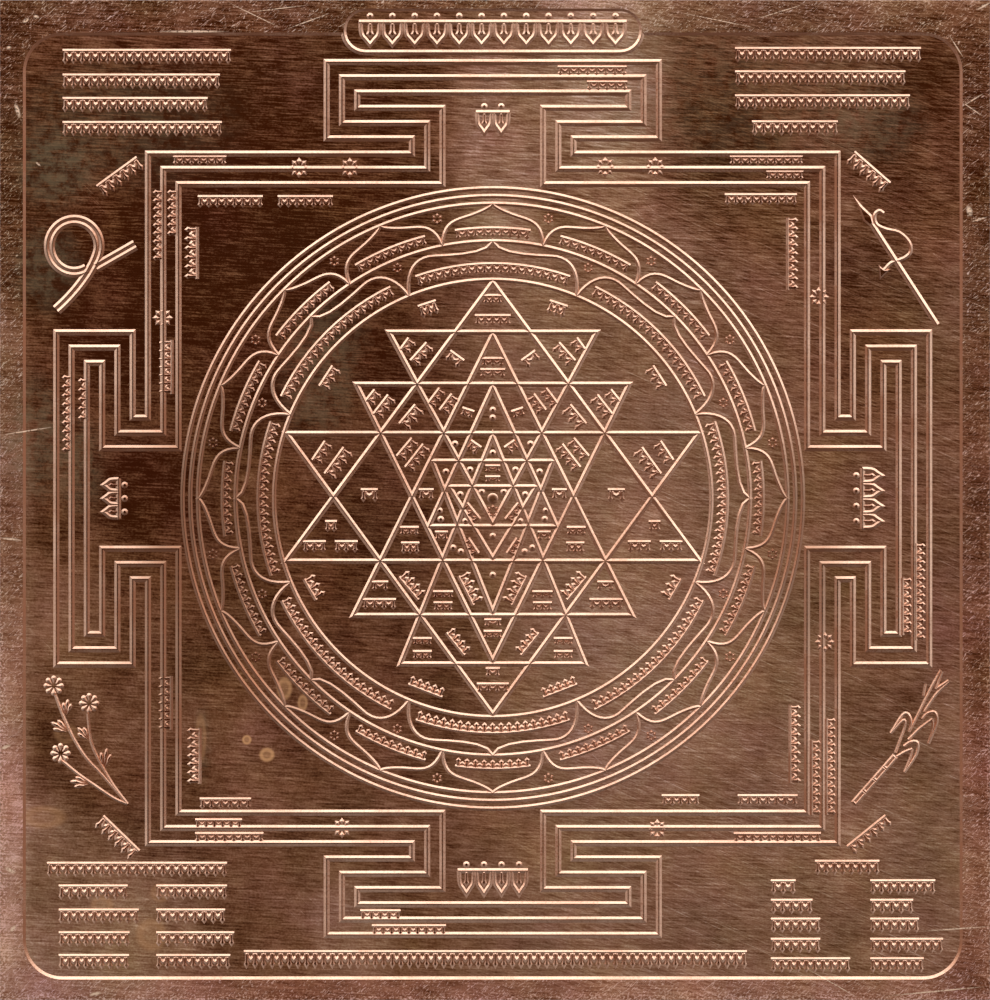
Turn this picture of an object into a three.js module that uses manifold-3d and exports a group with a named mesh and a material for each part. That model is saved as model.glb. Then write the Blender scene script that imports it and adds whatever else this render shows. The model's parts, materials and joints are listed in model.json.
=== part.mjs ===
// Shri yantra plate: one sheet of copper, struck in a press so that its design stands up from a
// sunk field. Millimetres, +Z up. The plate lies face up with the top of the design toward +Y, and
// the origin is the middle of its underside.
import * as THREE from "three";
import { mergeVertices } from "three/addons/utils/BufferGeometryUtils.js";
import Module from "manifold-3d";

// The blank: a nominal 6 inch square of 22 gauge sheet.
const PLATE_WIDTH = 152.4;
const PLATE_LENGTH = 153.9;
const SHEET_THICKNESS = 0.71;

// The field is pressed down between flat margins. The tops of the lines stay level with the margins.
const RELIEF_DEPTH = 0.2;
const MARGIN_LEFT = 3.54;
const MARGIN_RIGHT = 4.23;
const MARGIN_TOP = 5.0;
const MARGIN_BOTTOM = 3.16;
const FIELD_CORNER_RADIUS = 6.1;
const FIELD_FLANK = 0.65;
const DESIGN_RAISE = 1.15; // the yantra sits this far above the middle of the field

// The title panel is a long rounded recess that breaks through the top margin.
const PANEL_WIDTH = 46.0;
const PANEL_HEIGHT = 6.8;
const PANEL_MARGIN = 1.28;
const PANEL_LINE_WIDTH = 0.8;

// Every raised line has a flat top and two sloping sides. A fine line's sides are narrower, so that
// its top stays flat.
const LINE_FLANK = 0.14;
const FINE_FLANK_SHARE = 0.3; // of the line's width at its foot
const LINE_ROOT = 0.1; // how deep a line's solid is rooted in the sheet

// The earth square: three parallel lines, each with four T-shaped gates.
const GATE_CLEARANCE = 5.15; // from the edge of the field to the outermost line
const GATE_LINE_WIDTH = 0.9;
const GATE_LINE_PITCH = 2.35;
const GATE_LINE_COUNT = 3;
const GATE_OPENING_HALF = 7.74;
const GATE_WING_HALF = 20.86;

// Three rings lie inside the square.
const RING_GAP = 0.62;
const RING_PITCH = 1.19;
const RING_COUNT = 3;
const RING_LINE_WIDTH = 0.64;

// Two rows of lotus petals, each standing on its own circle and reaching the next circle out.
const PETAL_LINE_WIDTH = 0.56;
const OUTER_LOTUS_PETALS = 16;
const OUTER_LOTUS_HEIGHT = 5.78;
const INNER_LOTUS_PETALS = 8;
const INNER_LOTUS_HEIGHT = 5.93;

// Half of a petal's line, as two curves that meet at the shoulder. The first number is the share of
// the petal's half width, the second the share of its height above its base corners.
const OUTER_PETAL_SIDE = [[1, 0], [0.99, 0.61], [0.72, 0.6], [0.39, 0.745]];
const OUTER_PETAL_TIP = [[0.39, 0.745], [0.24, 0.815], [0.06, 0.9], [0, 1]];
const INNER_PETAL_SIDE = [[1, 0], [1.04, 0.44], [0.93, 0.72], [0.697, 0.726]];
const INNER_PETAL_TIP = [[0.697, 0.726], [0.45, 0.745], [0.05, 0.76], [0, 1]];

// Nine triangles interlock inside the innermost circle. Each flat side lies at its own height,
// given as a share of that circle's radius. Down triangles hang from theirs, up triangles stand.
const STAR_LINE_WIDTH = 0.66;
const POINT_SETBACK = 0.38; // a point stops this short, so that its mitred tip ends in the next line
const DOWN_SIDE = { first: 0.297, second: 0.522, third: 0.76, fourth: 0.17, fifth: 0.053 };
const UP_SIDE = { first: -0.287, second: -0.535, third: -0.128, fourth: -0.757 };

// The bindu is a low dome in the innermost triangle.
const BINDU_RADIUS = 0.8;
const BINDU_FOOT = 0.06; // height of its upright foot

// A figure stands in each corner of the field. Its inset is measured from that corner, across and
// along, and its own outlines are in millimetres from the point that the inset gives.

// Top left, a noose: two strands side by side, looped once. The inset is to the middle of the loop.
const NOOSE_INSET = [7.9, 32.9];
const NOOSE_STRAND_WIDTH = 0.8;
const NOOSE_STRAND_PITCH = 0.86;
const NOOSE_LOOP_HALF = [3.83, 4.0];
const NOOSE_LOOP_SPAN = [-0.15, 5.23]; // radians: out of the long tail and round to it again
const NOOSE_LONG_TAIL = [[-2.7, -9.8], [1.4, -6.2], [3.83, -2.0], [3.83, 0]];
const NOOSE_SHORT_TAIL = [[3.35, -3.25], [9.4, 0.2]];

// Top right, a goad: a spear head on a shaft, with a hook tied across. The inset is to its point.
const GOAD_INSET = [16.95, 24.95];
const GOAD_LENGTH = 23.9;
const GOAD_LEAN = 0.576; // radians off the upright
const GOAD_HEAD_LENGTH = 5.6;
const GOAD_HEAD_WIDTH = 1.6;
// Half of the head's outline below its point, as shares of its half width and of its length.
const GOAD_HEAD_SIDE = [[0.45, 0.44], [1, 0.77], [0.5, 1]];
const GOAD_SHAFT_WIDTH = 0.88;
const GOAD_HOOK_WIDTH = 0.56;
const GOAD_HOOK = [
  [4.8, -2.9], [4.1, -2.5], [3.4, -3.2], [3.7, -4.6], [5.2, -5.35], [7.2, -5.85],
  [8.7, -7.3], [8.95, -8.8], [7.9, -9.8], [6.0, -10.5], [4.9, -11.6],
];
const GOAD_BARB = [[4.0, -10.8], [4.2, -13.1], [6.0, -11.4], [4.9, -11.5]];
const GOAD_BARB_WIDTH = 0.6;

// Bottom left, a spray of flowers. The inset is to the foot of the stems. A bud is given by its
// foot, its direction in radians and its length.
const SPRAY_INSET = [16.1, 27.0];
const STEM_WIDTH = 0.52;
const STEMS = [
  [[0, 0], [-3.8, 4.4], [-6.2, 6.9], [-8, 9.6], [-9.7, 13.1], [-11.1, 16.8]],
  [[0, 0], [-2.2, 2.9], [-4.1, 6.2], [-5.6, 9.6], [-6.1, 13.9]],
  [[0, 0], [-2.1, 0.9], [-5.4, 3.1], [-7.7, 4.7], [-10, 6.6]],
];
const FLOWERS = [[-11.35, 18.2], [-5.9, 15.5], [-10.3, 7.8]];
const FLOWER_RADIUS = 1.6;
const FLOWER_EYE = 0.45;
const FLOWER_PETALS = 9;
const FLOWER_PETAL_WIDTH = 0.64;
const BUDS = [
  { foot: [-9.6, 13.3], towards: 1.42, length: 2.9 },
  { foot: [-8.7, 11.0], towards: 2.67, length: 3.5 },
  { foot: [-5.6, 9.7], towards: 2.37, length: 3.0 },
  { foot: [-3.8, 5.0], towards: 1.39, length: 3.7 },
  { foot: [-5.4, 3.1], towards: 3.03, length: 3.5 },
];
const BUD_SPREAD = 0.24; // radians between neighbouring petals of a bud
const BUD_PETAL_WIDTH = 0.56;
const BUD_PETAL_START = 0.3; // share of the bud's length

// Bottom right, a stalk of sugarcane. The inset is to its foot.
const CANE_INSET = [16.65, 27.2];
const CANE_LEAN = 0.72; // radians off the upright
const CANE_LINE_WIDTH = 0.46;
const CANE_JOINTS = 4;
const CANE_JOINT_LENGTH = 2.1;
const CANE_JOINT_PITCH = 2.42;
const CANE_WIDTH = 0.56; // between the middles of the two edge lines
const CANE_LEAVES = [
  [[8.4, 10.9], [8.75, 12.3], [8.3, 13.6], [7.4, 13.5], [5.6, 10.7]],
  [[6.3, 7.7], [7.1, 9.9], [7.85, 12.1], [7.4, 12.65], [5.6, 10.7]],
  [[10.4, 12.9], [11.2, 13.75], [12.4, 13.9], [12.7, 12.3], [11.4, 9.1]],
  [[8.3, 9.7], [10.0, 11.4], [12.0, 12.9], [12.1, 11.6], [11.4, 9.1]],
  [[7.6, 8.7], [8.7, 9.4], [9.75, 9.2], [9.5, 7.4], [7.7, 4.7]],
  [[6.5, 7.1], [7.9, 7.9], [8.9, 8.3], [8.6, 6.9], [7.7, 4.7]],
];
const CANE_TOP = [
  [[8.4, 10.9], [9.6, 13.2], [10.7, 15.5], [11.9, 17.9], [13.3, 20.4]],
  [[10.7, 14.0], [11.7, 15.5], [12.9, 17.1], [14.6, 18.6]],
  [[10.6, 16.4], [10.95, 18.3]],
  [[12.5, 17.5], [13.5, 20.2]],
  [[12.5, 17.5], [14.5, 18.8]],
];

// How finely round stretches are stepped.
const CIRCLE_STEPS = 64;
const CORNER_STEPS = 10;
const PETAL_SIDE_STEPS = 5;
const PETAL_TIP_STEPS = 3;
const DOME_STEPS = 4;
const DOME_SIDES = 20;
const LOOP_STEPS = 24;
const TAIL_STEPS = 7;
const HOOK_STEPS = 22;
const STEM_STEPS = 6;
const LEAF_STEPS = 7;

const wasm = await Module();
wasm.setup();

// Joins and cuts

function toSolid(geometry) {
  geometry.deleteAttribute("normal");
  geometry.deleteAttribute("uv");
  const merged = mergeVertices(geometry);
  return new wasm.Manifold(
    new wasm.Mesh({
      numProp: 3,
      vertProperties: new Float32Array(merged.attributes.position.array),
      triVerts: new Uint32Array(merged.index.array),
    }),
  );
}

function toGeometry(solid) {
  const mesh = solid.getMesh();
  const geometry = new THREE.BufferGeometry();
  geometry.setAttribute("position", new THREE.BufferAttribute(mesh.vertProperties, 3));
  geometry.setIndex(new THREE.BufferAttribute(mesh.triVerts, 1));
  geometry.computeVertexNormals();
  return geometry;
}

function join(solids) {
  return solids.reduce((whole, piece) => whole.add(piece));
}

// Places that line up

const field = {
  left: MARGIN_LEFT - PLATE_WIDTH / 2,
  right: PLATE_WIDTH / 2 - MARGIN_RIGHT,
  bottom: MARGIN_BOTTOM - PLATE_LENGTH / 2,
  top: PLATE_LENGTH / 2 - MARGIN_TOP,
};
const centre = new THREE.Vector2(
  (field.left + field.right) / 2,
  (field.bottom + field.top) / 2 + DESIGN_RAISE,
);

// The square's lines lie on evenly spaced levels. The sides of the square take the first ones, the
// shoulders of the gates the next and their outer ends the last.
const lastLevel = 3 * GATE_LINE_COUNT - 1;

function gateLevel(number) {
  const outermost = (field.right - field.left) / 2 - GATE_CLEARANCE;
  return outermost - (lastLevel - number) * GATE_LINE_PITCH;
}

const outerRingRadius = gateLevel(0) - RING_GAP;
const innerRingRadius = outerRingRadius - (RING_COUNT - 1) * RING_PITCH;
const outerLotusRadius = innerRingRadius - OUTER_LOTUS_HEIGHT;
const starRadius = outerLotusRadius - INNER_LOTUS_HEIGHT;

// Raised lines

// The sideways direction at a point of a path, lengthened so that a corner is mitred.
function sideways(path, index, closed) {
  const count = path.length;
  const stretch = (number) => {
    const from = closed ? (number + count) % count : Math.min(Math.max(number, 0), count - 2);
    return new THREE.Vector2().subVectors(path[(from + 1) % count], path[from]).normalize();
  };
  const arriving = stretch(index - 1);
  const leaving = stretch(index);
  const side = new THREE.Vector2(-arriving.y - leaving.y, arriving.x + leaving.x);
  return side.divideScalar(1 + arriving.dot(leaving));
}

function flankOf(footWidth) {
  return Math.min(LINE_FLANK, FINE_FLANK_SHARE * footWidth);
}

// A line along a path, which is drawn from an origin. A closed path gives an endless line, an open
// one a line with square ends.
function raisedLine(path, footWidth, closed, origin = centre) {
  const flank = flankOf(footWidth);
  const halfTop = footWidth / 2 - flank;
  const halfRoot = halfTop + (flank * (RELIEF_DEPTH + LINE_ROOT)) / RELIEF_DEPTH;
  const rootHeight = SHEET_THICKNESS - RELIEF_DEPTH - LINE_ROOT;
  const section = [
    [halfRoot, rootHeight],
    [halfTop, SHEET_THICKNESS],
    [-halfTop, SHEET_THICKNESS],
    [-halfRoot, rootHeight],
  ];
  const positions = path.flatMap((point, index) => {
    const side = sideways(path, index, closed);
    return section.flatMap(([across, height]) => [
      origin.x + point.x + side.x * across,
      origin.y + point.y + side.y * across,
      height,
    ]);
  });
  const corners = section.length;
  const stretches = closed ? path.length : path.length - 1;
  const faces = [];
  for (let i = 0; i < stretches; i += 1) {
    const from = i * corners;
    const to = ((i + 1) % path.length) * corners;
    for (let j = 0; j < corners; j += 1) {
      const next = (j + 1) % corners;
      faces.push(from + j, from + next, to + j);
      faces.push(from + next, to + next, to + j);
    }
  }
  if (!closed) {
    const end = (path.length - 1) * corners;
    faces.push(0, 2, 1, 0, 3, 2);
    faces.push(end, end + 1, end + 2, end, end + 2, end + 3);
  }
  const geometry = new THREE.BufferGeometry();
  geometry.setAttribute("position", new THREE.Float32BufferAttribute(positions, 3));
  geometry.setIndex(faces);
  return toSolid(geometry);
}

function turned(path, angle) {
  return path.map((point) => point.clone().rotateAround(new THREE.Vector2(), angle));
}

function vectors(pairs) {
  return pairs.map(([x, y]) => new THREE.Vector2(x, y));
}

function curveThrough(pairs, steps) {
  return new THREE.SplineCurve(vectors(pairs)).getPoints(steps);
}

// A raised island with the same sloping sides as a line of its width. The outline is its foot's.
function island(outline, width, origin) {
  const flank = flankOf(width);
  const block = new THREE.ExtrudeGeometry(new THREE.Shape(outline), {
    depth: LINE_ROOT,
    bevelThickness: RELIEF_DEPTH,
    bevelSize: flank,
    bevelOffset: -flank,
    bevelSegments: 1,
  });
  return toSolid(block.translate(origin.x, origin.y, SHEET_THICKNESS - RELIEF_DEPTH - LINE_ROOT));
}

function circlePath(radius) {
  return new THREE.EllipseCurve(0, 0, radius, radius).getPoints(CIRCLE_STEPS).slice(0, -1);
}

// The sheet

function roundedOblong(left, right, bottom, top, radius) {
  const shape = new THREE.Shape();
  shape.absarc(right - radius, bottom + radius, radius, -Math.PI / 2, 0);
  shape.absarc(right - radius, top - radius, radius, 0, Math.PI / 2);
  shape.absarc(left + radius, top - radius, radius, Math.PI / 2, Math.PI);
  shape.absarc(left + radius, bottom + radius, radius, Math.PI, (3 * Math.PI) / 2);
  return shape;
}

function blank() {
  const sheet = new THREE.BoxGeometry(PLATE_WIDTH, PLATE_LENGTH, SHEET_THICKNESS);
  return toSolid(sheet.translate(0, 0, SHEET_THICKNESS / 2));
}

// What the die presses away: the outline is the floor's, and the sides flare out up to the margin.
function hollow(floorOutline) {
  const tool = new THREE.ExtrudeGeometry(floorOutline, {
    depth: RELIEF_DEPTH,
    bevelThickness: RELIEF_DEPTH,
    bevelSize: FIELD_FLANK,
    bevelSegments: 1,
    curveSegments: CORNER_STEPS,
  });
  return toSolid(tool.translate(0, 0, SHEET_THICKNESS));
}

// The field's edges are measured at the margin, so its floor is smaller by the flank.
function fieldHollow() {
  return hollow(
    roundedOblong(
      field.left + FIELD_FLANK,
      field.right - FIELD_FLANK,
      field.bottom + FIELD_FLANK,
      field.top - FIELD_FLANK,
      FIELD_CORNER_RADIUS - FIELD_FLANK,
    ),
  );
}

const panelTop = PLATE_LENGTH / 2 - PANEL_MARGIN;
const panelMiddle = panelTop - PANEL_HEIGHT / 2;

function panelHollow() {
  const half = PANEL_WIDTH / 2 - FIELD_FLANK;
  const radius = PANEL_HEIGHT / 2 - FIELD_FLANK;
  return hollow(
    roundedOblong(
      centre.x - half,
      centre.x + half,
      panelMiddle - radius,
      panelMiddle + radius,
      radius,
    ),
  );
}

// The line that closes the panel off from the field. Its upper part lies in the margin.
function panelLine() {
  const reach = PANEL_LINE_WIDTH / 2 - LINE_FLANK;
  const half = PANEL_WIDTH / 2 + reach;
  const radius = PANEL_HEIGHT / 2 + reach;
  const outline = roundedOblong(-half, half, -radius, radius, radius);
  const path = outline.getPoints(CORNER_STEPS).filter((point, index, all) => {
    const before = all[(index + all.length - 1) % all.length];
    return point.distanceTo(before) > LINE_ROOT;
  });
  const lift = new THREE.Vector2(0, panelMiddle - centre.y);
  return raisedLine(path.map((point) => point.add(lift)), PANEL_LINE_WIDTH, true);
}

// The earth square

// One side of a square line, from the middle of its left corner to just before the right one.
function gatePath(number) {
  const side = gateLevel(number);
  const opening = GATE_OPENING_HALF + number * GATE_LINE_PITCH;
  const wing = GATE_WING_HALF + number * GATE_LINE_PITCH;
  const shoulder = gateLevel(2 * GATE_LINE_COUNT - 1 - number);
  const end = gateLevel(2 * GATE_LINE_COUNT + number);
  const rightHalf = [
    [wing, end],
    [wing, shoulder],
    [opening, shoulder],
    [opening, side],
  ];
  const leftHalf = rightHalf.map(([x, y]) => [-x, y]).reverse();
  return vectors([[-side, side], ...leftHalf, ...rightHalf]);
}

function squareLine(number) {
  const quarter = gatePath(number);
  const path = [0, 1, 2, 3].flatMap((turn) => turned(quarter, (-turn * Math.PI) / 2));
  return raisedLine(path, GATE_LINE_WIDTH, true);
}

// The lotus rows

function petalPath(baseRadius, tipRadius, count, sideShares, tipShares) {
  const halfAngle = Math.PI / count;
  const halfWidth = baseRadius * Math.sin(halfAngle);
  const foot = baseRadius * Math.cos(halfAngle);
  const place = ([across, up]) =>
    new THREE.Vector2(across * halfWidth, foot + up * (tipRadius - foot));
  const side = new THREE.CubicBezierCurve(...sideShares.map(place)).getPoints(PETAL_SIDE_STEPS);
  const tip = new THREE.CubicBezierCurve(...tipShares.map(place)).getPoints(PETAL_TIP_STEPS);
  const half = [...side, ...tip.slice(1)];
  const otherHalf = half.slice(0, -1).map((point) => new THREE.Vector2(-point.x, point.y));
  return [...half, ...otherHalf.reverse()];
}

function lotus(baseRadius, tipRadius, count, sideShares, tipShares) {
  const petal = petalPath(baseRadius, tipRadius, count, sideShares, tipShares);
  const petals = Array.from({ length: count }, (_, k) =>
    raisedLine(turned(petal, (2 * Math.PI * k) / count), PETAL_LINE_WIDTH, false),
  );
  const circle = raisedLine(circlePath(baseRadius), RING_LINE_WIDTH, true);
  return join([circle, ...petals]);
}

function rings() {
  const radii = Array.from({ length: RING_COUNT }, (_, k) => outerRingRadius - k * RING_PITCH);
  return join(radii.map((radius) => raisedLine(circlePath(radius), RING_LINE_WIDTH, true)));
}

// The nine triangles

// How far out a triangle's slanting side lies at a height.
function reachAt(triangle, height) {
  return (triangle.half * (triangle.apex - height)) / (triangle.apex - triangle.side);
}

// A triangle whose point rests on the line at a height, and whose slanting side passes through a
// junction.
function throughJunction(restsOn, side, junction) {
  const apex = restsOn - POINT_SETBACK * Math.sign(restsOn - side);
  return { apex, side, half: (junction.x * (apex - side)) / (apex - junction.y) };
}

// Each point rests on another triangle's flat side, and each slanting side passes through a junction
// where two other lines cross, as the yantra is drawn. The corners of the three smallest triangles
// rest on slanting sides.
function nineTriangles() {
  const scaled = (share) => share * starRadius;
  const down = Object.fromEntries(Object.entries(DOWN_SIDE).map(([k, s]) => [k, scaled(s)]));
  const up = Object.fromEntries(Object.entries(UP_SIDE).map(([k, s]) => [k, scaled(s)]));
  const chord = (height) => Math.sqrt(starRadius ** 2 - height ** 2);
  const crossing = (triangle, height) => ({ x: reachAt(triangle, height), y: height });
  const resting = (triangle, height) => ({ x: reachAt(triangle, height) - POINT_SETBACK, y: height });

  const up1 = { apex: starRadius, side: up.first, half: chord(up.first) };
  const down1 = { apex: -starRadius, side: down.first, half: chord(down.first) };
  const down2 = throughJunction(up.fourth, down.second, crossing(up1, down.first));
  const down3 = throughJunction(up.third, down.third, crossing(up1, down.second));
  const up2 = throughJunction(down.third, up.second, crossing(down1, up.first));
  const up4 = throughJunction(down.first, up.fourth, crossing(down1, up.second));
  const down4 = throughJunction(up.second, down.fourth, resting(up2, down.fourth));
  const up3 = throughJunction(down.second, up.third, resting(down2, up.third));
  const down5 = throughJunction(up.first, down.fifth, resting(up3, down.fifth));
  return [up1, up2, up3, up4, down1, down2, down3, down4, down5];
}

function trianglePath({ apex, side, half }) {
  return vectors([[-half, side], [half, side], [0, apex]]);
}

// The two great triangles touch the circle, so their corners end inside its line.
function star() {
  const lines = nineTriangles().map((t) => raisedLine(trianglePath(t), STAR_LINE_WIDTH, true));
  const within = new THREE.CylinderGeometry(starRadius, starRadius, SHEET_THICKNESS, CIRCLE_STEPS);
  within.rotateX(Math.PI / 2);
  within.translate(centre.x, centre.y, SHEET_THICKNESS / 2);
  return join(lines).intersect(toSolid(within));
}

function bindu() {
  const floor = SHEET_THICKNESS - RELIEF_DEPTH;
  const rise = RELIEF_DEPTH - BINDU_FOOT;
  const profile = [new THREE.Vector2(0, floor - LINE_ROOT)];
  profile.push(new THREE.Vector2(BINDU_RADIUS, floor - LINE_ROOT));
  for (let i = 0; i <= DOME_STEPS; i += 1) {
    const angle = (i / DOME_STEPS) * (Math.PI / 2);
    const radius = i === DOME_STEPS ? 0 : BINDU_RADIUS * Math.cos(angle);
    profile.push(new THREE.Vector2(radius, floor + BINDU_FOOT + rise * Math.sin(angle)));
  }
  const dome = new THREE.LatheGeometry(profile, DOME_SIDES);
  dome.rotateX(Math.PI / 2);
  dome.translate(centre.x, centre.y, 0);
  return toSolid(dome);
}

// The corner figures

// The point that lies at an inset from the field's corner. Signs say which corner.
function fromCorner([across, along], signX, signY) {
  const x = signX < 0 ? field.left : field.right;
  const y = signY < 0 ? field.bottom : field.top;
  return new THREE.Vector2(x - signX * across, y - signY * along);
}

// Two parallel paths, half a pitch to either side of a path.
function pair(path, pitch) {
  return [-pitch / 2, pitch / 2].map((shift) =>
    path.map((point, index) => point.clone().addScaledVector(sideways(path, index, false), shift)),
  );
}

function noose() {
  const place = fromCorner(NOOSE_INSET, -1, 1);
  const loop = new THREE.EllipseCurve(0, 0, ...NOOSE_LOOP_HALF, ...NOOSE_LOOP_SPAN);
  const longTail = new THREE.CubicBezierCurve(...vectors(NOOSE_LONG_TAIL));
  const paths = [
    loop.getPoints(LOOP_STEPS),
    longTail.getPoints(TAIL_STEPS),
    vectors(NOOSE_SHORT_TAIL),
  ];
  const strands = paths.flatMap((path) => pair(path, NOOSE_STRAND_PITCH));
  return join(strands.map((path) => raisedLine(path, NOOSE_STRAND_WIDTH, false, place)));
}

function goad() {
  const place = fromCorner(GOAD_INSET, 1, 1);
  const leaning = (points) => turned(points, GOAD_LEAN);
  const rightSide = vectors(GOAD_HEAD_SIDE).map(
    ({ x, y }) => new THREE.Vector2((x * GOAD_HEAD_WIDTH) / 2, -y * GOAD_HEAD_LENGTH),
  );
  const leftSide = rightSide.map(({ x, y }) => new THREE.Vector2(-x, y));
  const head = [new THREE.Vector2(), ...leftSide, ...rightSide.reverse()];
  const shaft = vectors([[0, GOAD_SHAFT_WIDTH / 2 - GOAD_HEAD_LENGTH], [0, -GOAD_LENGTH]]);
  return join([
    island(leaning(head), GOAD_HEAD_WIDTH, place),
    raisedLine(leaning(shaft), GOAD_SHAFT_WIDTH, false, place),
    raisedLine(curveThrough(GOAD_HOOK, HOOK_STEPS), GOAD_HOOK_WIDTH, false, place),
    island(vectors(GOAD_BARB), GOAD_BARB_WIDTH, place),
  ]);
}

// A petal of a small flower: a lozenge that points away from a place.
function lozenge(from, angle, start, end, width) {
  const middle = (start + end) / 2;
  const outline = vectors([[start, 0], [middle, -width / 2], [end, 0], [middle, width / 2]]);
  const foot = new THREE.Vector2(...from);
  return turned(outline, angle).map((point) => point.add(foot));
}

function spray() {
  const place = fromCorner(SPRAY_INSET, -1, -1);
  const stems = STEMS.map((pairs) =>
    raisedLine(curveThrough(pairs, STEM_STEPS), STEM_WIDTH, false, place),
  );
  const flowers = FLOWERS.flatMap((middle) =>
    Array.from({ length: FLOWER_PETALS }, (_, k) => {
      const angle = (2 * Math.PI * k) / FLOWER_PETALS;
      const petal = lozenge(middle, angle, FLOWER_EYE, FLOWER_RADIUS, FLOWER_PETAL_WIDTH);
      return island(petal, FLOWER_PETAL_WIDTH, place);
    }),
  );
  const buds = BUDS.flatMap(({ foot, towards, length }) =>
    [-BUD_SPREAD, 0, BUD_SPREAD].map((spread) => {
      const start = BUD_PETAL_START * length;
      const petal = lozenge(foot, towards + spread, start, length, BUD_PETAL_WIDTH);
      return island(petal, BUD_PETAL_WIDTH, place);
    }),
  );
  return join([...stems, ...flowers, ...buds]);
}

function cane() {
  const place = fromCorner(CANE_INSET, 1, -1);
  const joints = Array.from({ length: CANE_JOINTS }, (_, k) => {
    const low = k * CANE_JOINT_PITCH;
    const high = low + CANE_JOINT_LENGTH;
    const half = CANE_WIDTH / 2;
    const outline = vectors([[-half, low], [half, low], [half, high], [-half, high]]);
    return raisedLine(turned(outline, -CANE_LEAN), CANE_LINE_WIDTH, true, place);
  });
  const leaves = [...CANE_LEAVES, ...CANE_TOP].map((pairs) => {
    const steps = pairs.length > 2 ? LEAF_STEPS : 1;
    return raisedLine(curveThrough(pairs, steps), CANE_LINE_WIDTH, false, place);
  });
  return join([...joints, ...leaves]);
}

function plate() {
  const sheet = blank();
  const lines = join([
    panelLine(),
    ...Array.from({ length: GATE_LINE_COUNT }, (_, number) => squareLine(number)),
    rings(),
    lotus(
      outerLotusRadius,
      innerRingRadius,
      OUTER_LOTUS_PETALS,
      OUTER_PETAL_SIDE,
      OUTER_PETAL_TIP,
    ),
    lotus(starRadius, outerLotusRadius, INNER_LOTUS_PETALS, INNER_PETAL_SIDE, INNER_PETAL_TIP),
    star(),
    bindu(),
    noose(),
    goad(),
    spray(),
    cane(),
  ]);
  return sheet.subtract(fieldHollow()).subtract(panelHollow()).add(lines.intersect(sheet));
}

const copper = new THREE.MeshStandardMaterial({ color: 0x9a6548, roughness: 0.4, metalness: 1 });
const yantraPlate = new THREE.Mesh(toGeometry(plate()), copper);
yantraPlate.name = "yantra_plate";

const part = new THREE.Group();
part.add(yantraPlate);

export default part;
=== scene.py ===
import json
import math

import bmesh
import bpy
from mathutils import Matrix, Vector
from mathutils.geometry import interpolate_bezier

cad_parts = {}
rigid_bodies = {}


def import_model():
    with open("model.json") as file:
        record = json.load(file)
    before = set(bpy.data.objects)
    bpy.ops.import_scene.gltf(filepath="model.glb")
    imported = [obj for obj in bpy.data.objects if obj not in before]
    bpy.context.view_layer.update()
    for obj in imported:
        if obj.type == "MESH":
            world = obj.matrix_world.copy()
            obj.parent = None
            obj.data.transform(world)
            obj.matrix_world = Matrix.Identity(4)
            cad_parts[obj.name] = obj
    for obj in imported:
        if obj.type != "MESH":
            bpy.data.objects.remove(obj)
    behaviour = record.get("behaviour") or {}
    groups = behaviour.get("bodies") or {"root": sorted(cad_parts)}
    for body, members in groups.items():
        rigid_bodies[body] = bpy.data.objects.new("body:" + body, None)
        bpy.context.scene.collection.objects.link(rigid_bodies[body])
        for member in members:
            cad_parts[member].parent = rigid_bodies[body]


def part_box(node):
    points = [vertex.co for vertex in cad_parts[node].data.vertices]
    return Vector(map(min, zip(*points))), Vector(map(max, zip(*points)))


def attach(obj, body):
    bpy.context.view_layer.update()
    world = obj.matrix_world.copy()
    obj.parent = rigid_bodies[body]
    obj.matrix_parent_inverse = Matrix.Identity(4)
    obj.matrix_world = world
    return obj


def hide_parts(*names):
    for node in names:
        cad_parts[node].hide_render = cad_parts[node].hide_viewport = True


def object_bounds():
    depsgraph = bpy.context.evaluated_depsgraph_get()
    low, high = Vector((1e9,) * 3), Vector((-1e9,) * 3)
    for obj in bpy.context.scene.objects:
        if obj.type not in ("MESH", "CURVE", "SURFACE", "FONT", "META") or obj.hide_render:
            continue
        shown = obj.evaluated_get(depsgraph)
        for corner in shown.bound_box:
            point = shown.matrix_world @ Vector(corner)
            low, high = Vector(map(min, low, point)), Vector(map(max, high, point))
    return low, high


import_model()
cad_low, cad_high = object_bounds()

# The blank and its field
# One sheet of copper, cut nearly square and struck once in a press. The die pushes a round-cornered
# field down between flat margins and leaves the whole design standing. The plate is drawn in
# millimetres, face up with the top of the design toward +Y, and is brought to metres when finished.
MM = 0.001
sheet_low, sheet_high = (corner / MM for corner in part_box("yantra_plate"))
TOP = sheet_high.z
RELIEF_DEPTH = 0.2
FLOOR = TOP - RELIEF_DEPTH
MARGIN_LEFT = 3.54
MARGIN_RIGHT = 4.23
MARGIN_TOP = 5.0
MARGIN_BOTTOM = 3.16
FIELD_CORNER_RADIUS = 6.1
FIELD_CORNER_STEPS = 18
# The side of the field from the margin down: how far in and how far down each short slope goes.
FIELD_SIDE = ((0.12, 0.048), (0.24, 0.112), (0.1, 0.04))
STAMP_HEIGHT = 1.0
# Flats are cut into this many cells each way, and points closer than a weld are joined.
CELLS = 24
WELD = 0.01
# How far the middle of the design lies above the middle of the field.
DESIGN_RAISE = 1.15

field_low = Vector((sheet_low.x + MARGIN_LEFT, sheet_low.y + MARGIN_BOTTOM))
field_high = Vector((sheet_high.x - MARGIN_RIGHT, sheet_high.y - MARGIN_TOP))
field_middle = (field_low + field_high) / 2
centre = field_middle + Vector((0, DESIGN_RAISE))


def new_object(name, bm):
    """Keeps a bmesh as an object with its faces turned outward."""
    bmesh.ops.recalc_face_normals(bm, faces=bm.faces)
    mesh = bpy.data.meshes.new(name)
    bm.to_mesh(mesh)
    bm.free()
    return bpy.data.objects.new(name, mesh)


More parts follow.
